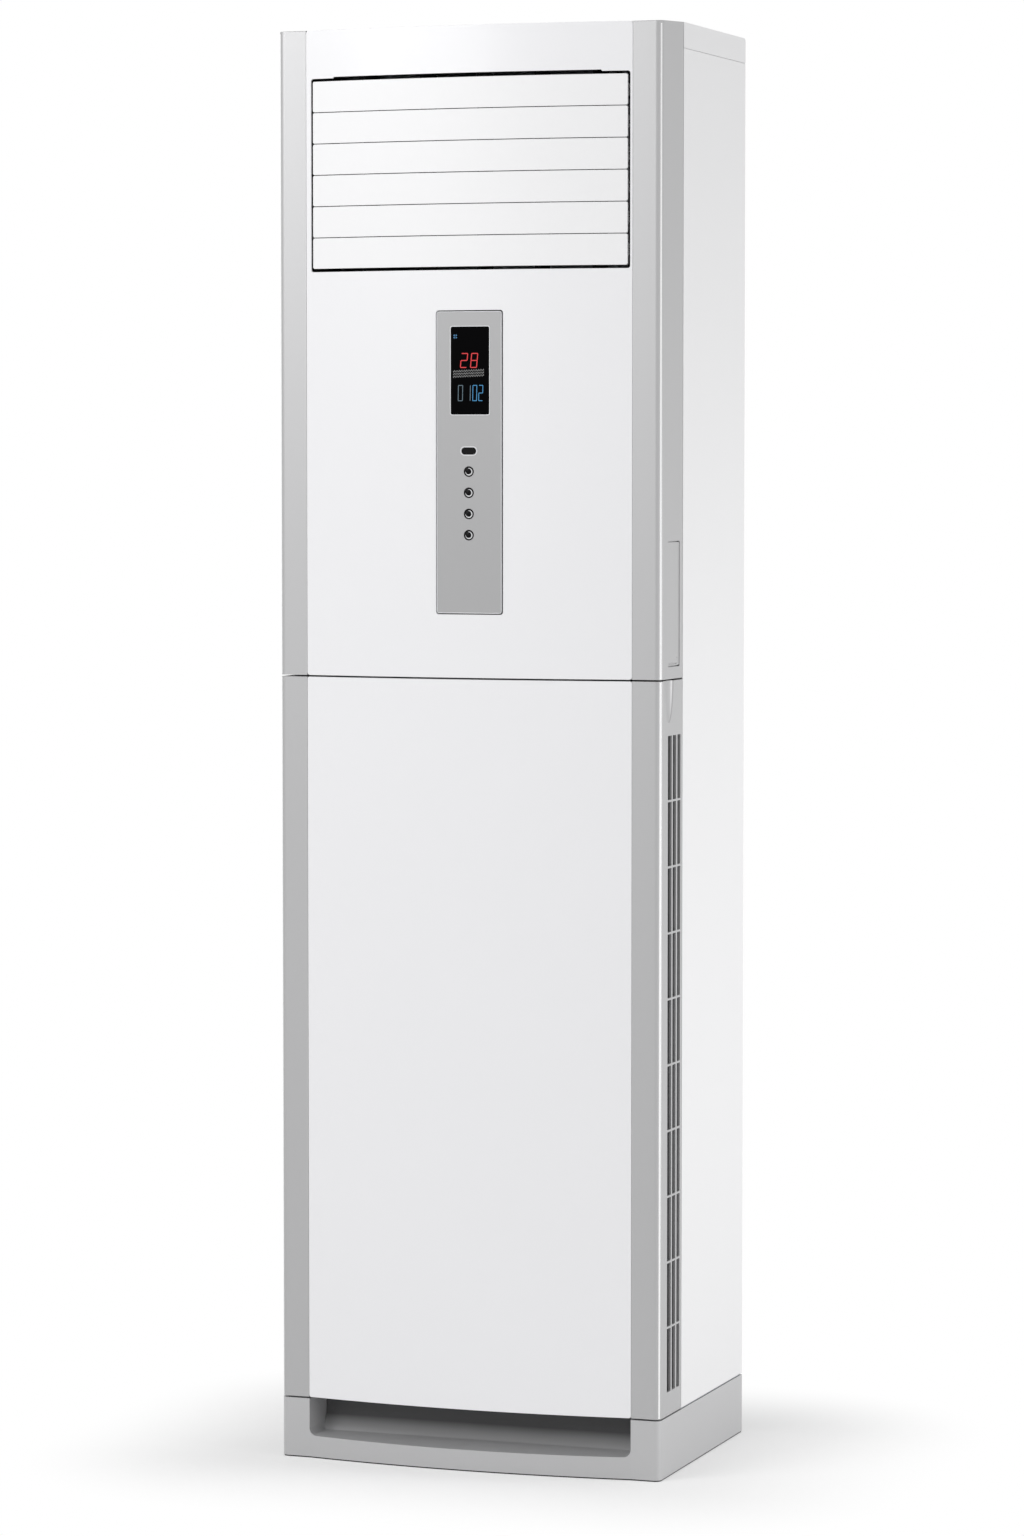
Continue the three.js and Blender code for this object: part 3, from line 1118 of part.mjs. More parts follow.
function makeCoil() {
  const half = COIL_WALL / 2;
  const [x0, x1] = COIL_X;
  const core = block(x0, x1, -half, half, 0, COIL_LENGTH);
  const pitch = (x1 - x0) / (FIN_SLOTS + 1);
  const slots = [];
  for (let i = 1; i <= FIN_SLOTS; i += 1) {
    const x = x0 + i * pitch;
    for (const face of [-1, 1]) {
      slots.push(block(
        x - FIN_SLOT_WIDTH / 2, x + FIN_SLOT_WIDTH / 2, face * (half - FIN_SLOT_DEPTH), face * (half + CUT),
        pitch, COIL_LENGTH - pitch));
    }
  }
  add('evaporator_core', without(core, ...slots), FIN_METAL, coil);
}

function makeBends() {
  const face = COIL_X[1] + FIT;
  const outer = face + COIL_PLATE;
  const half = COIL_WALL / 2;
  const plate = block(face, outer, -half, half, 0, COIL_LENGTH);
  const step = COIL_LENGTH / BEND_COUNT;
  const bends = [];
  for (let i = 0; i < BEND_COUNT; i += 1) {
    const y = i % 2 ? half / 2 : -half / 2;
    const middle = (i + 0.5) * step;
    const corners = [
      [outer - CUT, y, middle - BEND_RADIUS], [outer + BEND_RADIUS + CUT, y, middle - BEND_RADIUS],
      [outer + BEND_RADIUS + CUT, y, middle + BEND_RADIUS], [outer - CUT, y, middle + BEND_RADIUS],
    ];
    bends.push(pipe(corners, BEND_TUBE, BEND_RADIUS - 0.5, 6, 3));
  }
  add('evaporator_bends', joined(plate, ...bends), COPPER, coil);
}

function makeDrainPan() {
  const foot = DECK_TOP + FIT;
  const [x0, x1] = DRAIN_PAN_X;
  const [y0, y1] = DRAIN_PAN_Y;
  const wall = HOUSING_WALL;
  const tray = block(x0, x1, y0, y1, foot, foot + DRAIN_PAN_HEIGHT);
  const hollow = block(
    x0 + wall, x1 - wall, y0 + wall, y1 - wall, PAN_FLOOR, foot + DRAIN_PAN_HEIGHT + CUT);
  const spout = rod('z', DRAIN_RADIUS - SHELL, foot - CUT, PAN_FLOOR + CUT, DRAIN_X, DRAIN_Y);
  add('drain_pan', without(tray, hollow, spout), INNER_WHITE);
}

function makePipes() {
  const start = COIL_X[1] + FIT + COIL_PLATE + FIT;
  const [gasY, gasZ] = onCoil(COIL_LENGTH - COIL_WALL / 2);
  const gas = [
    [start, gasY, gasZ], [PIPE_X, gasY, gasZ], [PIPE_X, GAS_DROP_Y, GAS_EXIT_Z], [PIPE_X, PIPE_END_Y, GAS_EXIT_Z],
  ];
  const liquidAlong = COIL_LENGTH / BEND_COUNT;
  const [liquidY, liquidZ] = onCoil(liquidAlong);
  const liquid = [
    [start, liquidY, liquidZ], [PIPE_X, liquidY, liquidZ], [PIPE_X, LIQUID_DROP_Y, liquidZ],
    [PIPE_X, LIQUID_DROP_Y, LIQUID_EXIT_Z], [PIPE_X, PIPE_END_Y, LIQUID_EXIT_Z],
  ];
  const drain = [
    [DRAIN_X, DRAIN_Y, DECK_TOP], [DRAIN_X, DRAIN_Y, DRAIN_EXIT_Z], [DRAIN_X, PIPE_END_Y, DRAIN_EXIT_Z],
  ];
  add('gas_pipe', pipe(gas, GAS_RADIUS, PIPE_BEND), COPPER);
  add('liquid_pipe', pipe(liquid, LIQUID_RADIUS, PIPE_BEND, 8), COPPER);
  const bore = DRAIN_RADIUS - SHELL / 2;
  const past = [[DRAIN_X, DRAIN_Y, DECK_TOP + CUT], drain[1], [DRAIN_X, PIPE_END_Y + CUT, DRAIN_EXIT_Z]];
  const hose = without(pipe(drain, DRAIN_RADIUS, PIPE_BEND), pipe(past, bore, PIPE_BEND, 8));
  add('drain_pipe', hose, INNER_WHITE);
}

// ---- Electrical parts ----
function makeElectricalBox() {
  const [x0, x1] = EBOX_X;
  const [y0, y1] = EBOX_Y;
  const wall = EBOX_WALL;
  const top = DECK_Z - FIT;
  const foot = top - EBOX_HEIGHT;
  const body = block(x0, x1, y0, y1, foot, top);
  const hollow = block(x0 + wall, x1 - wall, y0 - CUT, y1 - wall, foot + wall, top - wall);
  const boardY = y1 - wall - BOARD_STANDOFF;
  const posts = [x0 + POST_INSET, x1 - POST_INSET].flatMap((x) =>
    [foot + POST_INSET, top - POST_INSET].map((z) =>
      rod('y', POST_RADIUS, boardY + BOARD_WALL + FIT, y1 - CUT, x, z, PIN_STEPS)));
  add('electrical_box', joined(without(body, hollow), ...posts), ZINC_SHEET);

  const margin = BOARD_MARGIN;
  const board = block(
    x0 + margin, x1 - margin, boardY, boardY + BOARD_WALL, foot + margin, top - margin);
  const parts = [TRANSFORMER, RELAY_BANK, TERMINAL_BLOCK].map(([inset, width, depth, height], row) => {
    const x = x0 + inset;
    const z = foot + PART_FOOT + row * PART_PITCH;
    return block(x, x + width, boardY - depth, boardY + CUT, z, z + height);
  });
  add('control_board', joined(board, ...parts), BOARD_GREEN);

  const stand = foot + wall + FIT;
  const can = rod('z', CAPACITOR_RADIUS, stand, stand + CAPACITOR_HEIGHT, CAPACITOR_X, CAPACITOR_Y, 24);
  const tags = [-1, 1].map((side) => block(
    CAPACITOR_X + side * TAG_OFFSET, CAPACITOR_X + side * (TAG_OFFSET + TAG_HALF),
    CAPACITOR_Y - TAG_HALF, CAPACITOR_Y + TAG_HALF,
    stand + CAPACITOR_HEIGHT - CUT, stand + CAPACITOR_HEIGHT + TAG_HEIGHT));
  add('run_capacitor', joined(can, ...tags), STEEL);
}

function makeGrommet() {
  const [bore, neck, flange] = [GROMMET_BORE, GROMMET_NECK, GROMMET_FLANGE];
  const inside = PANEL_BACK - FIT;
  const outside = PANEL_BACK + SHEET + FIT;
  const ring = turnedY([
    [bore, inside - 2], [flange, inside - 2], [flange, inside], [neck, inside], [neck, outside],
    [flange, outside], [flange, BODY_DEPTH], [bore, BODY_DEPTH],
  ], GROMMET_X, GROMMET_Z, ROUND_STEPS);
  add('cable_grommet', ring, RUBBER_BLACK);
}

makePlinth();
makeBasePan();
makeSidePanel('side_panel_left', -1);
makeSidePanel('side_panel_right', 1);
makeRearPanel();
makeWallBracket();
makeTopCover();
makeUpperPanel();
makeUpperPillar('upper_pillar_left', -1);
makeUpperPillar('upper_pillar_right', 1);
makeGripInset('grip_inset_left', -1);
makeGripInset('grip_inset_right', 1);
makeDoorPanel();
makeDoorPillar('door_pillar_left', -1);
makeDoorPillar('door_pillar_right', 1);
makeHingePins();
makeFascia();
makeWindow();
makeDisplayBoard();
BUTTONS.forEach(makeButton);
makeOutletFrame();
louvreIndexes.forEach(makeLouvre);
makeLouvreLink();
makeLouvreMotor();
vaneIndexes.forEach(makeVane);
makeVaneLink();
makeVaneMotor();
makeDeck();
makeCoilCover();
makeGrille();
makeFilter();
makeHousing();
makeBlowerFront();
makeFanWheel();
makeFanMotor();
makeMotorBracket();
makeCoil();
makeBends();
makeDrainPan();
makePipes();
makeElectricalBox();
makeGrommet();

export default cabinet;
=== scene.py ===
import json
import math

import bmesh
import bpy
from mathutils import Matrix, Vector


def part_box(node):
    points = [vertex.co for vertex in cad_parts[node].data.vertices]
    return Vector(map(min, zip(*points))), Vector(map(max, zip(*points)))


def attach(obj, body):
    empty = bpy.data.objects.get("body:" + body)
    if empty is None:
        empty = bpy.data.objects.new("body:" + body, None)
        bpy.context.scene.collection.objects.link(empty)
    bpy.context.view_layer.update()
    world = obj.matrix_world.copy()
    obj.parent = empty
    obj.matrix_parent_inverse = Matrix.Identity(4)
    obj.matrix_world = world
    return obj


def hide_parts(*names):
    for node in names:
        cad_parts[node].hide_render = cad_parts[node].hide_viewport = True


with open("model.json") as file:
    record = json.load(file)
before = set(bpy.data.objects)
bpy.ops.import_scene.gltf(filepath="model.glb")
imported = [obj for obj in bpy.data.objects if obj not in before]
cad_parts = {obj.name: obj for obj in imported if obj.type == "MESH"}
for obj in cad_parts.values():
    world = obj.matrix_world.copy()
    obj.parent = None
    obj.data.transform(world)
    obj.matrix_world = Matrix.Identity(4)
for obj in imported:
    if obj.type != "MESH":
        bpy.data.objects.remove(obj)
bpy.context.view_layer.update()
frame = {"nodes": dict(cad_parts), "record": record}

# ---------------------------------------------------------------- sizes (metres)
MM = 0.001
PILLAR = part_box("upper_pillar_right")
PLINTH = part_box("base_plinth")
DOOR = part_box("door_panel")
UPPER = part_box("upper_front_panel")
SIDE = PLINTH[1].x
REAR = PLINTH[1].y
TOP = PILLAR[1].z
FACE = PILLAR[0].y  # front plane of the pillars
PILLAR_IN = PILLAR[0].x
PILLAR_BACK = PILLAR[1].y
PANEL_HALF = UPPER[1].x
BULGE = FACE - UPPER[0].y
BOW_HALF = PILLAR_IN
BOW_RADIUS = (BOW_HALF ** 2 + BULGE ** 2) / (2 * BULGE)
WALL = 2.8 * MM
CORNER = 8 * MM
HEAD_DROP = TOP - UPPER[1].z
JOINT = 1.8 * MM
BOW_STEPS = 72
ARC_STEPS = 10

TOE_HALF = 204 * MM
TOE_LIP = 25.5 * MM
TOE_DEPTH = 45 * MM
TOE_CORNER = 9 * MM
TOE_BACK_HALF = 200 * MM
TOE_BACK_LIP = 32 * MM
TOE_COVE = 26 * MM
PAINTED_SHADE_HEIGHTS = (27 * MM, 47 * MM)  # heights between which its paint darkens: painted shade up into the recess

LOUVRES = 6
VANES = 5
OUTLET_X = (-197.7 * MM, 201.5 * MM)
OUTLET_ROOM = 2.5 * MM  # above the first blade and below the last
OUTLET_Z = (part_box(f"louvre_{LOUVRES}")[0].z - OUTLET_ROOM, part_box("louvre_1")[1].z + OUTLET_ROOM)
OUTLET_GAPS = (1.5 * MM, 0.9 * MM)  # more room shown below and above the blades
NOTCH_HALF = 168 * MM
NOTCH = 2.5 * MM

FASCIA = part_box("control_fascia")
FASCIA_LAP = 6 * MM
FASCIA_GAP = 1.2 * MM
FASCIA_GROWTH = 1.4 * MM  # of the shown face, to the left
FASCIA_X = (FASCIA[0].x + FASCIA_LAP - FASCIA_GROWTH, FASCIA[1].x - FASCIA_LAP)
FASCIA_Z = (FASCIA[0].z + FASCIA_LAP, FASCIA[1].z - FASCIA_LAP)
FASCIA_FACE = FASCIA[0].y
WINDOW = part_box("display_window")
WINDOW_LAP = 2 * MM
WINDOW_X = (WINDOW[0].x + WINDOW_LAP, WINDOW[1].x - WINDOW_LAP)
WINDOW_Z = (WINDOW[0].z + WINDOW_LAP, WINDOW[1].z - WINDOW_LAP)
SIGN_FRONT = WINDOW[0].y - 0.06 * MM
SIGN_DEPTH = 0.2 * MM
BUTTONS = ("mode_button", "fan_button", "up_button", "down_button")

VENT_COLUMNS = ((27, 41.4), (46, 58.4), (63.5, 75))  # mm behind the front plane
VENT_Z = (DOOR[0].z + 28 * MM, DOOR[1].z - 64.6 * MM)
VENT_ROWS = 10
VENT_RIB = 2.4 * MM


# ---------------------------------------------------------------- mesh making
def bow(x, inset=0.0):
    """y of the bowed front at x, or of a face that lies inset behind it."""
    radius = BOW_RADIUS - inset
    return FACE + BOW_RADIUS - BULGE - math.sqrt(radius * radius - x * x)


def bow_points(x0, x1, inset, steps=BOW_STEPS):
    return [(x, bow(x, inset)) for x in (x0 + (x1 - x0) * i / steps for i in range(steps + 1))]


def middle(node_name):
    """Centre of a CAD node's box."""
    low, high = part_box(node_name)
    return [(a + b) / 2 for a, b in zip(low, high)]


def span(side, near, far):
    """Two distances from the cabinet's middle as a range of x, on one side of it."""
    return sorted((side * near, side * far))


def arc(cx, cy, radius, start, end, steps=ARC_STEPS):
    angles = [math.radians(start + (end - start) * i / steps) for i in range(steps + 1)]
    return [(cx + radius * math.cos(a), cy + radius * math.sin(a)) for a in angles]


def rounded(x0, x1, z0, z1, radius, steps=6):
    """Outline of a rectangle with round corners."""
    return (arc(x0 + radius, z0 + radius, radius, 180, 270, steps)
            + arc(x1 - radius, z0 + radius, radius, 270, 360, steps)
            + arc(x1 - radius, z1 - radius, radius, 0, 90, steps)
            + arc(x0 + radius, z1 - radius, radius, 90, 180, steps))


def circle(cx, cz, radius, steps=32):
    return arc(cx, cz, radius, 0, 360 - 360 / steps, steps - 1)


AXES = {
    "x": lambda a, b, t: (t, a, b),
    "y": lambda a, b, t: (a, t, b),
    "z": lambda a, b, t: (a, b, t),
}


def add_prism(bm, points, axis, start, end, end_points=None):
    """A closed solid: an outline across an axis, extruded from start to end."""
    place = AXES[axis]
    verts = [bm.verts.new(place(a, b, start)) for a, b in points]
    face = bm.faces.new(verts)
    grown = bmesh.ops.extrude_face_region(bm, geom=[face])
    moved = [v for v in grown["geom"] if isinstance(v, bmesh.types.BMVert)]
    shift = Vector(place(0, 0, end - start))
    bmesh.ops.translate(bm, verts=moved, vec=shift)
    if end_points:
        lookup = {(round(a, 7), round(b, 7)): far for (a, b), far in zip(points, end_points)}
        for v in moved:
            flat = {"x": (v.co.y, v.co.z), "y": (v.co.x, v.co.z), "z": (v.co.x, v.co.y)}[axis]
            v.co = place(*lookup[(round(flat[0], 7), round(flat[1], 7))], end)
    return moved


def add_box(bm, x0, x1, y0, y1, z0, z1):
    size = Matrix.Diagonal((abs(x1 - x0), abs(y1 - y0), abs(z1 - z0), 1))
    middle = Matrix.Translation(((x0 + x1) / 2, (y0 + y1) / 2, (z0 + z1) / 2))
    return bmesh.ops.create_cube(bm, size=1, matrix=middle @ size)["verts"]


TURNS = {
    "x": Matrix.Rotation(math.pi / 2, 4, "Y"),
    "y": Matrix.Rotation(math.pi / 2, 4, "X"),
    "z": Matrix.Identity(4),
}


def add_rod(bm, axis, radius, start, end, a, b, steps=32, end_radius=None):
    centre = Vector(AXES[axis](a, b, (start + end) / 2))
    bmesh.ops.create_cone(
        bm, cap_ends=True, segments=steps, radius1=radius, radius2=end_radius or radius,
        depth=abs(end - start), matrix=Matrix.Translation(centre) @ TURNS[axis])


def add_turned(bm, profile, cx, cz, steps=64):
    """A closed profile of (radius, y) spun about a line along y."""
    verts = [bm.verts.new((cx + r, y, cz)) for r, y in profile]
    edges = [bm.edges.new((verts[i], verts[(i + 1) % len(verts)])) for i in range(len(verts))]
    bmesh.ops.spin(
        bm, geom=verts + edges, cent=(cx, 0, cz), axis=(0, 1, 0), dvec=(0, 0, 0),
        angle=2 * math.pi, steps=steps, use_merge=True)
    bmesh.ops.remove_doubles(bm, verts=bm.verts, dist=1e-6)


def outward(bm):
    """The same shape, with every face pointing out of it."""
    bmesh.ops.recalc_face_normals(bm, faces=bm.faces)
    return bm


def solid(build, *args):
    bm = bmesh.new()
    build(bm, *args)
    return outward(bm)


def prism(points, axis, start, end, end_points=None):
    return solid(add_prism, points, axis, start, end, end_points)


def from_mm(profile, y):
    """A profile of (radius, depth) in mm as metres, with its depths counted from y."""
    return [(radius * MM, y + depth * MM) for radius, depth in profile]


def turned(profile, y, x, z, steps):
    """Such a profile spun about a line through x, z."""
    return solid(add_turned, from_mm(profile, y), x, z, steps)


def to_object(bm, name):
    mesh = bpy.data.meshes.new(name)
    bm.to_mesh(mesh)
    bm.free()
    piece = bpy.data.objects.new(name, mesh)
    bpy.context.scene.collection.objects.link(piece)
    return piece


def carved(bm, cutters, mode="DIFFERENCE"):
    """The solid after each cutter is taken from it."""
    body = to_object(bm, "carved_body")
    tools = [to_object(cutter, "carving_tool") for cutter in cutters]
    for tool in tools:
        cut = body.modifiers.new("cut", "BOOLEAN")
        cut.operation = mode
        cut.object = tool
        cut.solver = "EXACT"
    graph = bpy.context.evaluated_depsgraph_get()
    result = bmesh.new()
    result.from_mesh(body.evaluated_get(graph).to_mesh())
    for thing in [body, *tools]:
        mesh = thing.data
        bpy.data.objects.remove(thing)
        bpy.data.meshes.remove(mesh)
    bmesh.ops.remove_doubles(result, verts=result.verts, dist=1e-6)
    bmesh.ops.dissolve_degenerate(result, edges=result.edges, dist=1e-6)
    return result


def bevel_edges(bm, chosen, width, steps=4):
    edges = [e for e in bm.edges if chosen(e.verts[0].co, e.verts[1].co)]
    bmesh.ops.bevel(
        bm, geom=edges, offset=width, offset_type="OFFSET", segments=steps, affect="EDGES",
        profile=0.5, material=-1, clamp_overlap=True)


SLOTS = {entry["node"]: entry["material_slot"] for entry in frame["record"]["subparts"]}
BODIES = {node: body for body, nodes in frame["record"]["behaviour"]["bodies"].items() for node in nodes}


def piece(name, bm, material, body, slot, stands_for=(), round_edges=0.0, steps=3, smooth=35):
    """Turns a bmesh into a finished piece that rides on a body."""
    thing = to_object(bm, name)
    mesh = thing.data
    mesh.polygons.foreach_set("use_smooth", [True] * len(mesh.polygons))
    if round_edges:
        rounding = thing.modifiers.new("round edges", "BEVEL")
        rounding.width = round_edges
        rounding.segments = steps
        rounding.limit_method = "ANGLE"
        rounding.angle_limit = math.radians(35)
        rounding.use_clamp_overlap = True
        even = thing.modifiers.new("even shading", "WEIGHTED_NORMAL")
        even.keep_sharp = True
        even.weight = 50
    else:
        mesh.set_sharp_from_angle(angle=math.radians(smooth))
    mesh.materials.append(material)
    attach(thing, body)
    if stands_for:
        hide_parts(*stands_for)
    return thing


def stand_in(node_name, bm, material, round_edges=0.0, steps=3, smooth=35, name=None):
    """A finished piece in the place of one CAD node."""
    name = name or node_name + "_dressed"
    body, slot = BODIES[node_name], SLOTS[node_name]
    return piece(name, bm, material, body, slot, (node_name,), round_edges, steps, smooth)


def refined(node_name, material, round_edges=0.4 * MM, steps=2):
    """The node's own shape with merged faces and rounded edges."""
    bm = bmesh.new()
    bm.from_mesh(frame["nodes"][node_name].data)
    bmesh.ops.remove_doubles(bm, verts=bm.verts, dist=1e-6)
    bmesh.ops.dissolve_limit(
        bm, angle_limit=math.radians(1), verts=bm.verts, edges=bm.edges, use_dissolve_boundaries=False)
    return stand_in(node_name, bm, material, round_edges, steps)


# ---------------------------------------------------------------- finishes
def srgb(value):
    """Linear value of an sRGB one out of 255."""
    share = value / 255
    return share / 12.92 if share <= 0.04045 else ((share + 0.055) / 1.055) ** 2.4


def colour(red, green=None, blue=None):
    green = red if green is None else green
    blue = red if blue is None else blue
    return (srgb(red), srgb(green), srgb(blue), 1)


def new_group(name, inputs, outputs):
    """An empty node group with its sockets: (name, kind, value) in, (name, kind) out."""
    tree = bpy.data.node_groups.new(name, "ShaderNodeTree")
    for label, kind, value in inputs:
        socket = tree.interface.new_socket(label, in_out="INPUT", socket_type=kind)
        socket.default_value = value
    for label, kind in outputs:
        tree.interface.new_socket(label, in_out="OUTPUT", socket_type=kind)
    return tree, tree.nodes.new("NodeGroupInput"), tree.nodes.new("NodeGroupOutput")


def node(tree, kind, values=None, **settings):
    """A shader node with its input values, by name or number, and its settings."""
    made = tree.nodes.new(kind)
    for key, value in settings.items():
        setattr(made, key, value)
    fill(made, values or {})
    return made


def fill(made, values):
    for key, value in values.items():
        made.inputs[key].default_value = value


def wire(tree, *runs):
    """Joins sockets: each run is (node, output, node, input)."""
    for source, output, target, entry in runs:
        tree.links.new(source.outputs[output], target.inputs[entry])


def make_paint_wear():
    """Faint cloudiness of a moulded or painted face: its colour, sheen and a fine orange peel."""
    tree, given, made = new_group(
        "paint_wear",
        [("Colour", "NodeSocketColor", (1, 1, 1, 1)), ("Roughness", "NodeSocketFloat", 0.4),
         ("Cloud", "NodeSocketFloat", 0.02), ("Grain", "NodeSocketFloat", 900.0)],
        [("Colour", "NodeSocketColor"), ("Roughness", "NodeSocketFloat"), ("Height", "NodeSocketFloat")])
    place = node(tree, "ShaderNodeTexCoord")
    clouds = node(tree, "ShaderNodeTexNoise", {"Scale": 6, "Detail": 4})
    fine = node(tree, "ShaderNodeTexNoise", {"Detail": 2})
    lift = node(tree, "ShaderNodeMapRange", {"To Min": -1.0, "To Max": 1.0})
    shade = node(tree, "ShaderNodeMath", {2: 1.0}, operation="MULTIPLY_ADD")
    tint = node(tree, "ShaderNodeVectorMath", operation="SCALE")
    sheen = node(tree, "ShaderNodeMath", operation="MULTIPLY_ADD")
    wire(
        tree,
        (place, "Object", clouds, "Vector"),
        (place, "Object", fine, "Vector"),
        (given, "Grain", fine, "Scale"),
        (clouds, "Fac", lift, "Value"),
        (lift, "Result", shade, 0),
        (given, "Cloud", shade, 1),
        (given, "Colour", tint, 0),
        (shade, "Value", tint, "Scale"),
        (lift, "Result", sheen, 0),
        (given, "Cloud", sheen, 1),
        (given, "Roughness", sheen, 2),
        (tint, "Vector", made, "Colour"),
        (sheen, "Value", made, "Roughness"),
        (fine, "Fac", made, "Height"))
    return tree


def make_metal_grain():
    """Zinc spangle or rolling marks: a colour share, a roughness share and a height."""
    tree, given, made = new_group(
        "metal_grain",
        [("Size", "NodeSocketFloat", 60.0), ("Stretch", "NodeSocketVector", (1, 1, 1))],
        [("Shade", "NodeSocketFloat"), ("Height", "NodeSocketFloat")])
    place = node(tree, "ShaderNodeTexCoord")
    stretched = node(tree, "ShaderNodeVectorMath", operation="MULTIPLY")
    flakes = node(tree, "ShaderNodeTexVoronoi", feature="F1")
    noise = node(tree, "ShaderNodeTexNoise", {"Detail": 5})
    both = node(tree, "ShaderNodeMath", {1: 0.5}, operation="MULTIPLY_ADD")
    wire(
        tree,
        (place, "Object", stretched, 0),
        (given, "Stretch", stretched, 1),
        (stretched, "Vector", flakes, "Vector"),
        (stretched, "Vector", noise, "Vector"),
        (given, "Size", flakes, "Scale"),
        (given, "Size", noise, "Scale"),
        (flakes, "Color", both, 0),
        (noise, "Fac", both, 2),
        (both, "Value", made, "Shade"),
        (noise, "Fac", made, "Height"))
    return tree


PAINT_WEAR = make_paint_wear()
METAL_GRAIN = make_metal_grain()


def new_material(name):
    material = bpy.data.materials.new(name)
    material.use_nodes = True
    return material, material.node_tree, material.node_tree.nodes["Principled BSDF"]


def new_bump(tree, relief):
    return node(tree, "ShaderNodeBump", {"Strength": relief, "Distance": 0.1 * MM})


def painted(name, tone, roughness, cloud=0.015, grain=900.0, relief=0.02, coat=0.0, specular=0.5, flake=0.0):
    """A moulded or painted finish with one even colour."""
    material, tree, shader = new_material(name)
    wear = node(tree, "ShaderNodeGroup", node_tree=PAINT_WEAR)
    fill(wear, {"Colour": tone, "Roughness": roughness, "Cloud": cloud, "Grain": grain})
    fill(shader, {"Metallic": flake, "Coat Weight": coat, "Coat Roughness": 0.15})
    fill(shader, {"Specular IOR Level": specular})
    bump = new_bump(tree, relief)
    wire(
        tree,
        (wear, "Colour", shader, "Base Color"),
        (wear, "Roughness", shader, "Roughness"),
        (wear, "Height", bump, "Height"),
        (bump, "Normal", shader, "Normal"))
    return material


def metal(name, tone, roughness, size=60.0, stretch=(1, 1, 1), spread=0.12, relief=0.1):
    """Bare metal with spangle or a drawn grain."""
    material, tree, shader = new_material(name)
    grain = node(tree, "ShaderNodeGroup", node_tree=METAL_GRAIN)
    fill(grain, {"Size": size, "Stretch": stretch})
    fill(shader, {"Metallic": 1})
    dark = tuple(c * (1 - spread) for c in tone[:3]) + (1,)
    light = tuple(min(1, c * (1 + spread)) for c in tone[:3]) + (1,)
    mix = node(tree, "ShaderNodeMix", data_type="RGBA")
    fill(mix, {"A": dark, "B": light})
    rough = node(tree, "ShaderNodeMapRange", {"To Min": roughness - 0.06, "To Max": roughness + 0.08})
    bump = new_bump(tree, relief)
    wire(
        tree,
        (grain, "Shade", mix, "Factor"),
        (grain, "Shade", rough, "Value"),
        (grain, "Height", bump, "Height"),
        (mix, "Result", shader, "Base Color"),
        (rough, "Result", shader, "Roughness"),
        (bump, "Normal", shader, "Normal"))
    return material


def lit(name, tone, strength):
    """A lamp segment behind the dark window."""
    material, _, shader = new_material(name)
    fill(shader, {"Base Color": (0.01, 0.01, 0.01, 1), "Roughness": 0.4})
    fill(shader, {"Emission Color": tone, "Emission Strength": strength})
    return material


def paint_shade_by_height(name, low_tone, high_tone, low, high, roughness):
    """A finish that changes evenly from one tone to another with height, to paint light and shade."""
    material, tree, shader = new_material(name)
    fill(shader, {"Roughness": roughness})
    place = node(tree, "ShaderNodeTexCoord")
    split = node(tree, "ShaderNodeSeparateXYZ")
    share = node(tree, "ShaderNodeMapRange", {"From Min": low, "From Max": high})
    mix = node(tree, "ShaderNodeMix", data_type="RGBA")
    fill(mix, {"A": low_tone, "B": high_tone})
    wire(
        tree,
        (place, "Object", split, "Vector"),
        (split, "Z", share, "Value"),
        (share, "Result", mix, "Factor"),
        (mix, "Result", shader, "Base Color"))
    return material


PANEL_WHITE = painted("panel_white", colour(244, 244, 246), 0.32, 0.006, 700, 0.03, 0.25)
SIDE_PAINT = painted("side_paint", colour(234, 234, 235), 0.45, 0.008, 1600, 0.12)
TOP_PAINT = painted("top_paint", colour(232, 232, 233), 0.45, 0.008, 1600, 0.12)
SHELL_GREY = painted("shell_grey", colour(180, 180, 181), 0.42, 0.01, 1400, 0.05, flake=0.5)
BASE_GREY = painted("base_grey", colour(190, 190, 191), 0.45, 0.012, 1400, 0.08, flake=0.3)
BLADE_WHITE = painted("blade_white", colour(246, 246, 247), 0.34, 0.006, 1200, 0.03)
FASCIA_GREY = painted("fascia_grey", colour(166, 166, 167), 0.42, 0.01, 1500, 0.06, flake=0.3)
FASCIA_RIM = painted("fascia_rim", colour(206, 207, 209), 0.3, 0.006, 1500, 0.03, flake=0.3)
# Near-white paint for the painted highlight down the pillars' front corners.
PAINTED_HIGHLIGHT = painted("painted_highlight", colour(252, 252, 252), 0.3, 0.0, 1400, 0.02)
KEY_RIM = painted("key_rim", colour(224, 225, 227), 0.25, 0.01, 1500, 0.02)
KEY_DARK = painted("key_dark", colour(10, 10, 11), 0.35, 0.02, 1500, 0.02, 0.0, 0.1)
DARK_PLASTIC = painted("dark_plastic", colour(58, 60, 62), 0.55, 0.04, 1200, 0.12)
DUCT_BLACK = painted("duct_black", colour(16, 16, 17), 0.6, 0.04, 1200, 0.1)
INNER_WHITE = painted("inner_white", colour(222, 224, 226), 0.5, 0.02, 1100, 0.08)
FILTER_BLUE = painted("filter_blue", colour(98, 130, 150), 0.6, 0.05, 1100, 0.1)
RUBBER_BLACK = painted("rubber_black", colour(28, 28, 29), 0.75, 0.06, 1500, 0.2)
GLASS_BLACK = painted("glass_black", colour(2, 2, 3), 0.12, 0.0, 900, 0.0, 0.0, 0.03)
GLASS_BORDER = painted("glass_border", colour(226, 228, 230), 0.3, 0.0, 900, 0.0)
BOARD_GREEN = painted("board_green", colour(38, 92, 62), 0.45, 0.1, 300, 0.1)
CHIP_BLACK = painted("chip_black", colour(24, 24, 26), 0.5, 0.05, 900, 0.1)
CAP_BLUE = painted("cap_blue", colour(40, 70, 130), 0.35, 0.03, 900, 0.05)
COIL_YELLOW = painted("coil_yellow", colour(212, 176, 60), 0.4, 0.05, 900, 0.1)
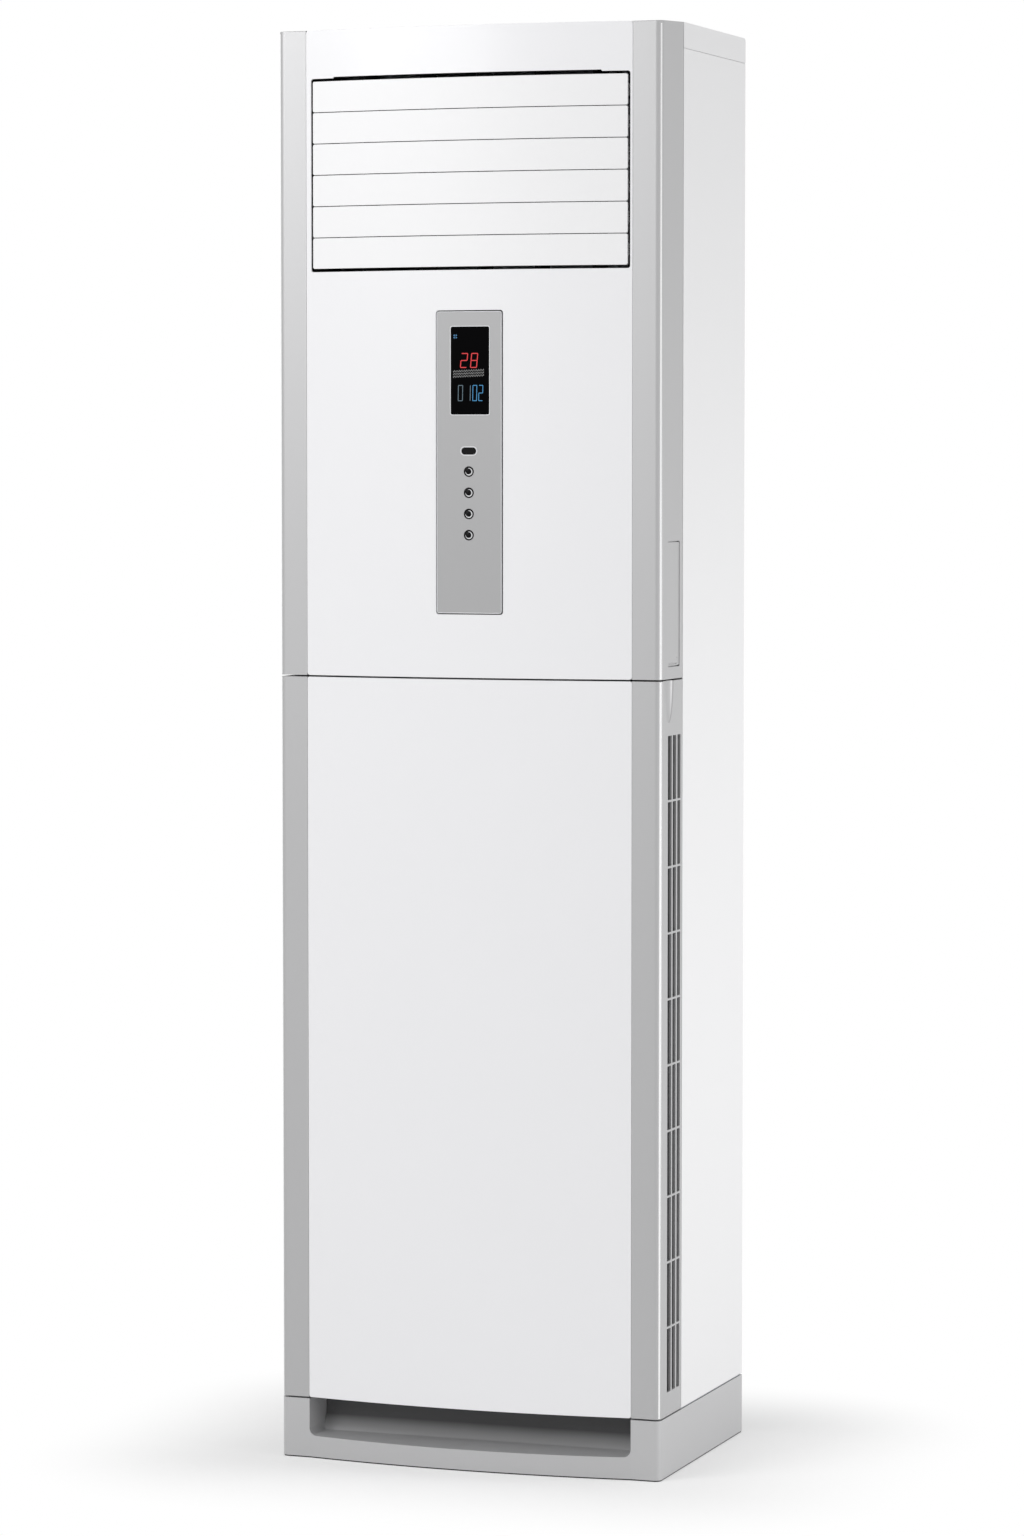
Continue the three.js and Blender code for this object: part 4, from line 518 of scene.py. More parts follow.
WIRE_RED = painted("wire_red", colour(176, 36, 32), 0.4, 0.03, 900, 0.05)
WIRE_BLUE = painted("wire_blue", colour(38, 68, 150), 0.4, 0.03, 900, 0.05)
WIRE_BROWN = painted("wire_brown", colour(96, 62, 40), 0.4, 0.03, 900, 0.05)
# Dark grey of the bars behind the door's vents: dark plastic, and painted shade for the pillar's hollow.
VENT_SHADE = painted("vent_shade", colour(84, 85, 87), 0.6, 0.02, 1200, 0.1)
# Painted light and shade in the recess under the door: light at its floor, dark under its top.
TOE_PAINTED_SHADE = paint_shade_by_height("toe_painted_shade", colour(196, 196, 197), colour(72, 72, 73), *PAINTED_SHADE_HEIGHTS, 0.6)
ZINC = metal("zinc_sheet", colour(176, 180, 184), 0.38, 45, (1, 1, 1), 0.1, 0.05)
FIN_METAL = metal("fin_metal", colour(206, 210, 214), 0.3, 200, (1, 1, 0.1), 0.08, 0.05)
STEEL = metal("steel", colour(150, 154, 158), 0.32, 300, (1, 0.1, 1), 0.08, 0.05)
COPPER = metal("copper", colour(196, 126, 88), 0.28, 80, (1, 1, 0.2), 0.1, 0.04)
LAMP_RED = lit("lamp_red", colour(216, 16, 28), 1.0)
LAMP_BLUE = lit("lamp_blue", colour(56, 150, 206), 0.95)
LAMP_DIM = lit("lamp_dim", colour(84, 108, 122), 0.9)
LAMP_ICON = lit("lamp_icon", colour(40, 112, 158), 1.0)
LAMP_GREY = lit("lamp_grey", colour(132, 132, 132), 0.9)


# ---------------------------------------------------------------- front panels
def bowed_sheet(bm, x0, x1, z0, z1, wall=WALL, inset=0.0, steps=BOW_STEPS):
    """A curved plate of even wall, on the bow of the front."""
    outline = bow_points(x0, x1, inset, steps) + bow_points(x0, x1, inset + wall, steps)[::-1]
    add_prism(bm, outline, "z", z0, z1)


def bowed_shelf(bm, x0, x1, rear, z0, z1):
    outline = bow_points(x0, x1, WALL / 2) + [(x1, rear), (x0, rear)]
    add_prism(bm, outline, "z", z0, z1)


def opening(x0, x1, z0, z1, radius, y0=FACE - 40 * MM, y1=FACE + 40 * MM):
    """A cutter for a round-cornered opening through the front."""
    return prism(rounded(x0, x1, z0, z1, radius), "y", y0, y1)


def panel_blank(foot, top, corner):
    """A bowed front panel before its openings, with round corners as seen from the front."""
    blank = solid(bowed_sheet, -PANEL_HALF, PANEL_HALF, foot, top)
    return carved(blank, [opening(-PANEL_HALF, PANEL_HALF, foot, top, corner)], "INTERSECT")


def make_panel_rims(name, node_name, foot, top, shelves):
    """The folded rim behind a front panel."""
    bm = bmesh.new()
    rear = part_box(node_name)[1].y
    for side in (-1, 1):
        add_box(bm, *span(side, PANEL_HALF - WALL, PANEL_HALF), FACE + WALL, rear, foot, top)
    for z0, z1 in shelves:
        bowed_shelf(bm, -PANEL_HALF + WALL, PANEL_HALF - WALL, rear, z0, z1)
    piece(name, outward(bm), PANEL_WHITE, BODIES[node_name], "white_panel")


def make_upper_panel():
    """The curved upper skin, with openings for the outlet and the fascia, and its folded rim."""
    low, high = UPPER
    shape = panel_blank(low.z, high.z, 3.5 * MM)
    outlet = opening(*OUTLET_X, OUTLET_Z[0] - OUTLET_GAPS[0], OUTLET_Z[1] + OUTLET_GAPS[1], 3 * MM)
    notch = opening(-NOTCH_HALF, NOTCH_HALF, OUTLET_Z[1] - 4 * MM, OUTLET_Z[1] + NOTCH, 1.5 * MM)
    x0, x1 = FASCIA_X
    z0, z1 = FASCIA_Z
    hole = opening(x0 - FASCIA_GAP, x1 + FASCIA_GAP, z0 - FASCIA_GAP, z1 + FASCIA_GAP, 3.6 * MM)
    shape = carved(shape, [outlet, notch, hole])
    stand_in("upper_front_panel", shape, PANEL_WHITE, 0.8 * MM, 3)
    rim_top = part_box("outlet_frame")[0].z - 2 * MM
    shelf = (low.z, low.z + WALL)
    make_panel_rims("upper_panel_rims", "upper_front_panel", low.z + 0.4 * MM, rim_top, [shelf])


RIBS = 4
RIB_FOOT = 240 * MM
RIB_PITCH = 160 * MM
RIB_DEPTH = 6 * MM
RIB_WALL = 1.8 * MM


def make_door_panel():
    """The curved door skin with its folded rim and four level ribs."""
    low, high = DOOR
    stand_in("door_panel", panel_blank(low.z, high.z, 2.5 * MM), PANEL_WHITE, 0.8 * MM, 3)
    shelves = [(low.z + 0.4 * MM, low.z + WALL), (high.z - WALL, high.z - 0.4 * MM)]
    make_panel_rims("door_panel_rims", "door_panel", low.z + 0.4 * MM, high.z - 0.4 * MM, shelves)
    bm = bmesh.new()
    front = bow_points(-PANEL_HALF + WALL, PANEL_HALF - WALL, WALL)
    outline = front + [(x, y + RIB_DEPTH) for x, y in reversed(front)]
    for i in range(RIBS):
        z = RIB_FOOT + i * RIB_PITCH
        add_prism(bm, outline, "z", z, z + RIB_WALL)
    piece("door_panel_ribs", outward(bm), PANEL_WHITE, BODIES["door_panel"], "white_panel")


# ---------------------------------------------------------------- pillars and vents
def pillar_plan(side, inset, rear):
    """Outline from above, with a groove where the pillar meets the side sheet."""
    corner = arc(SIDE - CORNER, FACE + CORNER, CORNER - inset, 270, 360)
    inner = PILLAR_IN + inset
    groove = [] if inset else [(SIDE, rear - JOINT), (SIDE - MM, rear - JOINT)]
    plan = [(inner, FACE + inset), *corner, *groove, (SIDE - max(inset, MM), rear), (inner, rear)]
    return [(side * x, y) for x, y in plan]


def hollow_pillar(side, foot, top, low_wall, high_wall):
    """A pillar open at the rear, as a solid and its hollow."""
    body = prism(pillar_plan(side, 0, PILLAR_BACK), "z", foot, top)
    inner = prism(pillar_plan(side, WALL, PILLAR_BACK + 5 * MM), "z", foot + low_wall, top - high_wall)
    return body, inner


def head_profile(drop):
    """Side outline of the head, lowered by drop."""
    slope = HEAD_DROP / (PILLAR_BACK - FACE)
    ahead = FACE - 30 * MM
    behind = REAR + 10 * MM
    return [(ahead, 0), (ahead, TOP - HEAD_DROP - drop + slope * (ahead - FACE)),
            (PILLAR_BACK, TOP - drop), (behind, TOP - drop), (behind, 0)]


def round_head(shape):
    """Soften the front and outer edges of a pillar's top."""
    slope = HEAD_DROP / (PILLAR_BACK - FACE)

    def on_head(point):
        return point.z > TOP - HEAD_DROP + slope * (point.y - FACE) - 0.05 * MM

    def outer(a, b):
        beside_panel = max(abs(a.x), abs(b.x)) < PILLAR_IN + 0.1 * MM
        return on_head(a) and on_head(b) and not beside_panel and min(a.y, b.y) < PILLAR_BACK - 2 * JOINT

    bevel_edges(shape, outer, 2.4 * MM, 5)


THROUGH_SIDE = (SIDE - 6 * MM, SIDE + 5 * MM)
THROUGH_INNER = (PILLAR_IN - MM, PILLAR_IN + WALL + MM)
GRIP_LAP = 3 * MM  # of the grip plate behind the pillar's wall


def grip_face():
    """The part of the grip plate that shows, as (y0, y1, z0, z1)."""
    low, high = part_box("grip_inset_right")
    return low.y + GRIP_LAP, high.y - GRIP_LAP, low.z + GRIP_LAP, high.z - GRIP_LAP


def make_upper_pillar(node_name, side):
    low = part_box(node_name)[0].z
    body, inner = hollow_pillar(side, low, TOP + 5 * MM, WALL, 0)
    under = prism(head_profile(WALL), "x", -SIDE - MM, SIDE + MM)
    inner = carved(inner, [under], "INTERSECT")
    y0, y1, z0, z1 = grip_face()
    outline = rounded(y0 - 0.05 * MM, y1 + 0.05 * MM, z0 - 1.3 * MM, z1 + 1.3 * MM, 3 * MM)
    grip = prism(outline, "x", *span(side, *THROUGH_SIDE))
    walls = span(side, *THROUGH_INNER)
    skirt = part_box("top_cover")[0].z
    frame_low, frame_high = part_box("outlet_frame")
    behind = solid(add_box, *walls, FACE + 30 * MM, PILLAR_BACK + MM, low + WALL, skirt)
    cranks = solid(
        add_box, *walls, FACE + WALL + MM, PILLAR_BACK + MM, frame_low.z - 2 * MM, frame_high.z + 2 * MM)
    shape = carved(body, [prism(head_profile(0), "x", -SIDE - MM, SIDE + MM)], "INTERSECT")
    round_head(shape)
    shape = carved(shape, [inner, behind, cranks, grip])
    stand_in(node_name, shape, SHELL_GREY, 0.9 * MM, 3)


def vent_cells():
    """Each opening of the door's vents as (y0, y1, z0, z1)."""
    z0, z1 = VENT_Z
    cell = (z1 - z0 - VENT_RIB * (VENT_ROWS - 1)) / VENT_ROWS
    for row in range(VENT_ROWS):
        z = z0 + row * (cell + VENT_RIB)
        for y0, y1 in VENT_COLUMNS:
            yield FACE + y0 * MM, FACE + y1 * MM, z, z + cell


def make_door_pillar(node_name, side):
    low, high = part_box(node_name)
    body, inner = hollow_pillar(side, low.z, high.z, WALL, WALL)
    vents = bmesh.new()
    for y0, y1, z0, z1 in vent_cells():
        add_prism(vents, rounded(y0, y1, z0, z1, 1 * MM, 3), "x", *span(side, *THROUGH_SIDE))
    outward(vents)
    walls = span(side, *THROUGH_INNER)
    behind = solid(add_box, *walls, FACE + 30 * MM, PILLAR_BACK + MM, low.z + WALL, high.z - WALL)
    if side < 0:
        shape = hinge_side(body, low.z, high.z)
        holes = [hinge_hole(low.z - MM, low.z + 14 * MM), hinge_hole(high.z - 14 * MM, high.z + MM)]
        shape = carved(shape, [inner, behind])
        shape = carved(carved(shape, [hinge_bead(low.z, high.z)], "UNION"), holes)
    else:
        shape = carved(body, [inner, behind])
        shape = carved(carved(shape, [scoop_backing(high.z)], "UNION"), [scoop(high.z)])
    shape = carved(shape, [vents])
    stand_in(node_name, shape, SHELL_GREY, 0.8 * MM, 3)


HINGE = Vector((-SIDE + 6 * MM, PILLAR_BACK - 6 * MM))


def hinge_side(body, low, high):
    """The left pillar without its rear outer corner, where the hinge bead goes."""
    corner = solid(add_box, -SIDE - MM, HINGE.x, HINGE.y, PILLAR_BACK + MM, low - MM, high + MM)
    return carved(body, [corner])


def hinge_bead(low, high):
    return solid(add_rod, "z", 6 * MM, low, high, HINGE.x, HINGE.y, 48)


def hinge_hole(low, high):
    return solid(add_rod, "z", 2.3 * MM, low, high, HINGE.x, HINGE.y, 32)


def scoop_backing(high):
    """A block inside the pillar that the finger pull is sunk into."""
    depth = (SIDE - 12 * MM, SIDE - WALL / 2)
    return solid(add_box, *depth, FACE + 10 * MM, FACE + 50 * MM, high - 55 * MM, high - 0.1 * MM)


def scoop(high):
    """The finger pull: a long dish under the seam."""
    bm = bmesh.new()
    reach = Matrix.Diagonal((4.5 * MM, 17 * MM, 52 * MM, 1))
    centre = Matrix.Translation((SIDE, FACE + 30 * MM, high + WALL))
    bmesh.ops.create_uvsphere(bm, u_segments=64, v_segments=40, radius=1, matrix=centre @ reach)
    return outward(bm)


def make_corner_highlight(name, side, body, foot, top):
    """A painted highlight: a fine near-white strip down the rounded front corner of a pillar, where a lamp's
    reflection runs.
    """
    centre = Vector((SIDE - CORNER, FACE + CORNER))
    outline = arc(*centre, CORNER + 0.12 * MM, 314, 329, 5) + arc(*centre, CORNER - 0.5 * MM, 329, 314, 5)
    line = prism([(side * x, y) for x, y in outline], "z", foot, top)
    # The strip is painted highlight: near-white paint where a reflection runs down the corner.
    piece(name, line, PAINTED_HIGHLIGHT, body, "grey_shell", smooth=50)


def make_corner_highlights():
    for word, side in (("left", -1), ("right", 1)):
        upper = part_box("upper_pillar_" + word)
        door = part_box("door_pillar_" + word)
        make_corner_highlight("upper_corner_highlight_" + word, side, "cabinet", upper[0].z + MM, UPPER[1].z - 3 * MM)
        make_corner_highlight("door_corner_highlight_" + word, side, "door", door[0].z + MM, door[1].z - MM)


def make_joint_shadow_strips():
    """Dark strips in the grooves between the pillars and the side sheets: seals, and painted shadow in those
    joints.
    """
    bm = bmesh.new()
    for side, foot in ((-1, UPPER[0].z), (1, PLINTH[1].z + 3 * MM)):
        ends = span(side, SIDE - 0.95 * MM, SIDE - 0.85 * MM)
        add_box(bm, *ends, PILLAR_BACK - JOINT + 0.1 * MM, PILLAR_BACK + 0.5 * MM, foot, TOP - 12 * MM)
    # Black strips deep in the joints: painted shadow there, as well as seals.
    piece("joint_shadow_strips", bm, DUCT_BLACK, "cabinet", "rubber_black")


def make_vent_slats(name, side):
    """Slanting dark bars behind the vents; their dark grey also paints the shade inside the pillar."""
    bm = bmesh.new()
    z0, z1 = VENT_Z
    near = SIDE - WALL - 0.2 * MM
    far = near - 4.5 * MM
    thick = 0.9 * MM
    slant = 3.7 * MM
    for y0, y1 in VENT_COLUMNS:
        count = round((y1 - y0) / 3.6)
        pitch = (y1 - y0) * MM / count
        for i in range(count + 1):
            y = FACE + y0 * MM + (i - 0.5) * pitch
            bar = [(side * near, y), (side * near, y + thick),
                   (side * far, y + slant + thick), (side * far, y + slant)]
            add_prism(bm, bar, "z", z0 - 2 * MM, z1 + 2 * MM)
    piece(name, outward(bm), VENT_SHADE, "door", "dark_plastic")


def make_grip_inset(node_name, side):
    """The plain grip plate in the pillar's side, with its catch slot and pin hole."""
    low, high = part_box(node_name)
    y0, y1, z0, z1 = grip_face()
    inner, outer = sorted((abs(low.x), abs(high.x)))
    back = inner + 1.4 * MM
    skin = span(side, outer - MM, outer + MM)
    plate = prism(rounded(y0, y1, z0, z1, 2.7 * MM), "x", *span(side, back, outer))
    slot = prism(rounded(y0 + 6 * MM, y1 - 9 * MM, z0 + 1.6 * MM, z0 + 3 * MM, 0.6 * MM, 3), "x", *skin)
    hole = prism(circle(y1 - 8 * MM, z0 + 9 * MM, 0.9 * MM, 16), "x", *skin)
    plate = carved(plate, [slot, hole])
    add_prism(plate, rounded(low.y, high.y, low.z, high.z, 4 * MM), "x", *span(side, inner, back))
    stand_in(node_name, outward(plate), SHELL_GREY, 0.35 * MM, 2)


# ---------------------------------------------------------------- plinth
def cabinet_plan(inset):
    half = SIDE - inset
    centre = SIDE - CORNER
    left = arc(-centre, FACE + CORNER, CORNER - inset, 180, 270)
    right = arc(centre, FACE + CORNER, CORNER - inset, 270, 360)
    rear = REAR - inset
    front = bow_points(-BOW_HALF, BOW_HALF, inset)
    return [(-half, rear), *left, *front, *right, (half, rear)]


def toe_outline(half, lip, radius, top):
    return [(-half, top), *arc(-half + radius, lip + radius, radius, 180, 270),
            *arc(half - radius, lip + radius, radius, 270, 360), (half, top)]


def toe_shape(grow, front, rear):
    """The recess under the door, a little narrower at the back, or its wall when grown."""
    top = PLINTH[1].z + MM
    radius = TOE_CORNER + grow
    outlines = []
    for y in (front, rear):
        depth = (y - FACE) / TOE_DEPTH
        half = TOE_HALF + (TOE_BACK_HALF - TOE_HALF) * depth + grow
        lip = TOE_LIP + (TOE_BACK_LIP - TOE_LIP) * max(depth, 0) - grow
        outlines.append(toe_outline(half, lip, radius, top))
    return prism(outlines[0], "y", front, rear, outlines[1])


def cabinet_slab(inset, foot, top):
    return prism(cabinet_plan(inset), "z", foot, top)


def make_plinth():
    """A hollow base with a recess in its front, flanges at the foot and a dark strip under it, a rubber foot
    strip that also paints the contact shadow along the floor.
    """
    top = PLINTH[1].z
    back = FACE + TOE_DEPTH
    ahead = FACE - BULGE
    block = cabinet_slab(0, 0, top)
    hollow = cabinet_slab(WALL, -MM, top - WALL)
    walls = carved(toe_shape(WALL, ahead, back + WALL), [cabinet_slab(0, 0, top)], "INTERSECT")
    shell = carved(carved(block, [hollow]), [walls], "UNION")
    shell = carved(shell, [toe_shape(0, ahead - MM, back)])
    for side in (-1, 1):
        add_box(shell, *span(side, SIDE - WALL - 12 * MM, SIDE - WALL / 2), back, REAR - WALL / 2, 0, WALL)
    outward(shell)
    step = carved(cabinet_slab(-MM, -MM, 1.5 * MM), [cabinet_slab(0.8 * MM, -2 * MM, 3 * MM)])
    stand_in("base_plinth", carved(shell, [step]), BASE_GREY, 0.7 * MM, 3)
    # A black strip just under the plinth's foot: rubber, and painted contact shadow at the floor.
    strip = carved(cabinet_slab(0.7 * MM, 0, 1.4 * MM), [cabinet_slab(2.5 * MM, -MM, 3 * MM)])
    piece("contact_shadow_strip", strip, DUCT_BLACK, "cabinet", "rubber_black")
    make_bolt_heads()
    make_toe_cove()


def make_toe_cove():
    """Curved skin that carries the floor of the recess up into its back wall; its paint darkens upward as
    painted shade.
    """
    back = FACE + TOE_DEPTH
    rise = (TOE_BACK_LIP - TOE_LIP) / TOE_DEPTH
    start = back - TOE_COVE
    low = TOE_LIP + rise * (start - FACE)
    head = PLINTH[1].z - WALL - 0.5 * MM
    curve = [(start + TOE_COVE * math.sin(math.radians(t)), low + TOE_COVE * (1 - math.cos(math.radians(t))))
             for t in range(0, 91, 6)]
    skin = [(FACE, TOE_LIP + 0.2 * MM), *((y - 0.3 * MM, z + 0.2 * MM) for y, z in curve),
            (back - 0.3 * MM, head), (back + 0.4 * MM, head),
            (back + 0.4 * MM, TOE_BACK_LIP - MM), (FACE, TOE_LIP - MM)]
    half = TOE_BACK_HALF - 0.2 * MM
    # The cove's paint is painted shade, darker towards the top of the recess.
    piece("toe_cove", prism(skin, "x", -half, half), TOE_PAINTED_SHADE, "cabinet", "grey_shell", smooth=30)


def make_bolt_heads():
    """Round bolt heads on the plinth's flanges."""
    bm = bmesh.new()
    for x in (-SIDE + 9 * MM, SIDE - 9 * MM):
        for y in (FACE + 75 * MM, REAR - 40 * MM):
            add_rod(bm, "z", 5 * MM, WALL, WALL + 5 * MM, x, y, 24)
    piece("plinth_bolt_heads", outward(bm), STEEL, "cabinet", "steel", round_edges=0.3 * MM)


# ---------------------------------------------------------------- control fascia
POWER_ROUND = 0.1 * MM  # a power key outline's corner radius is this much under its half height
ROUND_KEY_HOLE = 5.65 * MM
ROUND_KEY_CAP = 5.2 * MM
FACE_SUNK = 0.3 * MM


def plate_with_holes(outline, start, end, holes):
    return carved(prism(outline, "y", start, end), holes)


def oval(half_width, half_height):
    """An outline round the power key."""
    x, _, z = middle("power_button")
    radius = half_height - POWER_ROUND
    return rounded(x - half_width, x + half_width, z - half_height, z + half_height, radius, 12)


def make_fascia():
    """The light rim, the grey face in it and the flange behind them, painted dark as the shade in the gap
    round the fascia.
    """
    x0, x1 = FASCIA_X
    z0, z1 = FASCIA_Z
    low, high = FASCIA
    rim = 1.2 * MM
    through = (low.y - MM, high.y + MM)
    inner = rounded(x0 + rim, x1 - rim, z0 + rim, z1 - rim, 1.6 * MM)
    rim_shape = plate_with_holes(
        rounded(x0, x1, z0, z1, 3 * MM), low.y, high.y - MM, [prism(inner, "y", *through)])
    stand_in("control_fascia", rim_shape, FASCIA_RIM, 0.5 * MM, 4, name="fascia_rim")
    holes = [prism(rounded(*WINDOW_X, *WINDOW_Z, 2.2 * MM), "y", *through)]
    holes.append(prism(oval(9.4 * MM, 4.4 * MM), "y", *through))
    for name in BUTTONS:
        x, _, z = middle(name)
        holes.append(prism(circle(x, z, ROUND_KEY_HOLE, 40), "y", *through))
    face_y = low.y + FACE_SUNK
    face = plate_with_holes(inner, face_y, face_y + 2 * MM, holes)
    piece("fascia_face", face, FASCIA_GREY, "cabinet", "grey_shell", round_edges=0.3 * MM)
    lap = plate_with_holes(
        rounded(low.x, high.x, low.z, high.z, 4 * MM), high.y - 1.5 * MM, high.y,
        [prism(inner, "y", low.y, high.y + MM)])
    # Black paint on the flange: painted shade showing through the gap round the fascia.
    piece("flange_painted_shade", lap, DUCT_BLACK, "cabinet", "grey_shell", round_edges=0.3 * MM)
    make_key_wells(face_y)


def make_key_wells(face_y):
    """Dark rings round the keys, and the power key's light rim."""
    bm = bmesh.new()
    near, far = face_y - 0.2 * MM, face_y + 2 * MM
    profile = [(5.3 * MM, near), (6.2 * MM, near), (6.2 * MM, far), (5.3 * MM, far)]
    for name in BUTTONS:
        x, _, z = middle(name)
        add_turned(bm, profile, x, z, 48)
    piece("key_wells", outward(bm), KEY_DARK, "cabinet", "black_window")
    ring = plate_with_holes(
        oval(10.7 * MM, 5.7 * MM), face_y - 0.3 * MM, face_y + 1.5 * MM,
        [prism(oval(9.2 * MM, 4.2 * MM), "y", face_y - MM, face_y + 3 * MM)])
    piece("power_key_rim", ring, KEY_RIM, "cabinet", "key_grey", round_edges=0.3 * MM)


def make_power_button():
    """An oval cap, the flange that keeps it in and the stem to its switch."""
    low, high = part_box("power_button")
    x, _, z = middle("power_button")
    cap = prism(oval(8.9 * MM, 3.9 * MM), "y", low.y, low.y + 5 * MM)
    add_prism(cap, rounded(low.x, high.x, low.z, high.z, 5 * MM, 12), "y", low.y + 3.4 * MM, low.y + 4.4 * MM)
    add_rod(cap, "y", 2 * MM, low.y + 4 * MM, high.y, x, z, 24)
    stand_in("power_button", outward(cap), KEY_DARK, 0.7 * MM, 4)


def make_round_button(name):
    """A dark key with a light ring, and a dark dish up and to the left of its middle: a painted highlight
    crescent and painted shade in the well.
    """
    low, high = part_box(name)
    x, _, z = middle(name)
    y = low.y
    cap = ROUND_KEY_CAP / MM
    end = (high.y - y) / MM
    key = [(0, 0.7), (4.4, 0.7), (4.8, 0.8), (cap, 1.2), (cap, 3.4), (7, 3.4), (7, 4.4), (2, 4.4),
           (2, end), (0, end)]
    stand_in(name, turned(key, y, x, z, 48), KEY_DARK, smooth=50)
    # The light ring is the key's bezel. Set off-centre under the dark dish, it shows only as a crescent to
    # the lower right: painted highlight, with painted shade to the upper left.
    ring_profile = [(3.2, 0.3), (3.8, 0.1), (4.2, 0.2), (4.5, 0.8), (3.2, 0.8)]
    ring = turned(ring_profile, y, x + 0.2 * MM, z - 0.2 * MM, 48)
    piece(name + "_ring", ring, KEY_RIM, BODIES[name], "key_grey", smooth=50)
    dish_profile = [(0, 0.1), (3.2, 0.02), (3.5, 0.2), (3.7, 0.8), (0, 0.8)]
    dish = turned(dish_profile, y, x - 0.5 * MM, z + 0.4 * MM, 40)
    piece(name + "_shade_dish", dish, KEY_DARK, BODIES[name], "key_grey", smooth=50)


# ---------------------------------------------------------------- display
def make_window():
    """A black pane that fills its opening, with a fine light border round it."""
    low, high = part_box("display_window")
    x0, x1 = WINDOW_X
    z0, z1 = WINDOW_Z
    trim = 0.15 * MM
    pane = prism(rounded(x0 + trim, x1 - trim, z0 + trim, z1 - trim, 2 * MM), "y", low.y, high.y - 0.2 * MM)
    stand_in("display_window", pane, GLASS_BLACK, 0.2 * MM, 2)
    ring = plate_with_holes(
        rounded(x0 - MM, x1 + MM, z0 - MM, z1 + MM, 2.8 * MM), FASCIA_FACE, FASCIA_FACE + MM,
        [prism(rounded(x0, x1, z0, z1, 2.1 * MM), "y", FASCIA_FACE - MM, FASCIA_FACE + 2 * MM)])
    piece("window_border", ring, GLASS_BORDER, "cabinet", "black_window", round_edges=0.2 * MM)


# each lit bar of a digit as (x, z) of its two ends, in a cell one wide and two tall
SEGMENTS = {
    "a": ((0, 2), (1, 2)), "b": ((1, 2), (1, 1)), "c": ((1, 1), (1, 0)), "d": ((0, 0), (1, 0)),
    "e": ((0, 1), (0, 0)), "f": ((0, 2), (0, 1)), "g": ((0, 1), (1, 1)),
}
DIGITS = {"0": "abcdef", "1": "bc", "2": "abged", "8": "abcdefg"}


def add_digit(bm, digit, x, z, width, height, stroke, slant):
    """A seven-segment digit with its lower left corner at x, z."""
    for bar in DIGITS[digit]:
        ends = []
        for cx, cz in SEGMENTS[bar]:
            up = cz * height / 2
            ends.append(Vector((x + cx * width + up * slant, z + up)))
        along = (ends[1] - ends[0]).normalized()
        across = Vector((-along.y, along.x)) * stroke / 2
        start = ends[0] + along * stroke * 0.45
        end = ends[1] - along * stroke * 0.45
        tip = along * stroke / 2
        outline = [start + across, start - tip, start - across, end - across, end + tip, end + across]
        add_prism(bm, [(p.x, p.y) for p in outline], "y", SIGN_FRONT, SIGN_FRONT + SIGN_DEPTH)


def make_readout(name, digits, material, x, z, width, height, stroke, pitch, slant=0.1):
    """Digits in a row. Places and sizes are in mm, from the window's lower left corner."""
    bm = bmesh.new()
    for i, digit in enumerate(digits):
        left = WINDOW_X[0] + (x + i * pitch) * MM
        add_digit(bm, digit, left, WINDOW_Z[0] + z * MM, width * MM, height * MM, stroke * MM, slant)
    piece(name, outward(bm), material, "cabinet", "black_window", smooth=20)


def make_lamp_icon():
    """A small blue fan sign of four blades."""
    bm = bmesh.new()
    cx = WINDOW_X[0] + 5.7 * MM
    cz = WINDOW_Z[1] - 11.5 * MM
    for turn in range(4):
        angle = turn * 90 + 20
        root = arc(cx, cz, 0.4 * MM, angle, angle, 1)[0]
        blade = [root, *arc(cx, cz, 2.6 * MM, angle, angle + 52, 6)]
        add_prism(bm, blade, "y", SIGN_FRONT, SIGN_FRONT + SIGN_DEPTH)
    piece("lamp_icon", outward(bm), LAMP_ICON, "cabinet", "black_window", smooth=20)


BAND_BARS = 26
BAND_ROWS = 3
BAND_ROW_PITCH = 3.1 * MM
BAND_CLIMB = 0.06 * MM  # each bar stands this much higher than the one before


def make_lamp_band():
    """A strip of fine grey bars between the two readouts."""
    bm = bmesh.new()
    front = WINDOW[0].y - 0.05 * MM
    x0, x1 = WINDOW_X[0] + 3.1 * MM, WINDOW_X[1] - 6 * MM
    foot = WINDOW_Z[0] + 43.2 * MM
    pitch = (x1 - x0) / BAND_BARS
    for i in range(BAND_BARS):
        x = x0 + i * pitch
        for row in range(BAND_ROWS):
            z = foot + row * BAND_ROW_PITCH + i * BAND_CLIMB + (i % 2) * 0.8 * MM
            add_box(bm, x, x + pitch * 0.5, front, front + SIGN_DEPTH, z, z + 1.7 * MM)
    piece("lamp_band", outward(bm), LAMP_GREY, "cabinet", "black_window", smooth=20)


def make_display():
    make_window()
    make_readout("readout_upper", "28", LAMP_RED, 12.1, 55.2, 7.6, 16.4, 1.1, 12.6)
    make_readout("readout_dim", "01", LAMP_DIM, 9.3, 16.2, 5.4, 18, 0.8, 9.6, 0.02)
    make_readout("readout_lower", "02", LAMP_BLUE, 27.5, 16.2, 4.9, 18, 0.7, 7.5, 0.02)
    make_lamp_icon()
    make_lamp_band()
    refined("display_board", BOARD_GREEN, 0.3 * MM)


# ---------------------------------------------------------------- outlet
def stadium(ax, az, bx, bz, radius, steps=8):
    """Outline round two points: a bar with round ends."""
    angle = math.degrees(math.atan2(bz - az, bx - ax))
    near = arc(ax, az, radius, angle + 90, angle + 270, steps)
    return near + arc(bx, bz, radius, angle - 90, angle + 90, steps)


BLADE_X = (OUTLET_X[0] + 2.6 * MM, OUTLET_X[1] - 3.2 * MM)
BLADE_WALL = 2.5 * MM
BLADE_PIVOT = FACE + 8 * MM
LUG_WALL = 3 * MM
LUG_HALF = 3.5 * MM
CRANK_REACH = 12 * MM


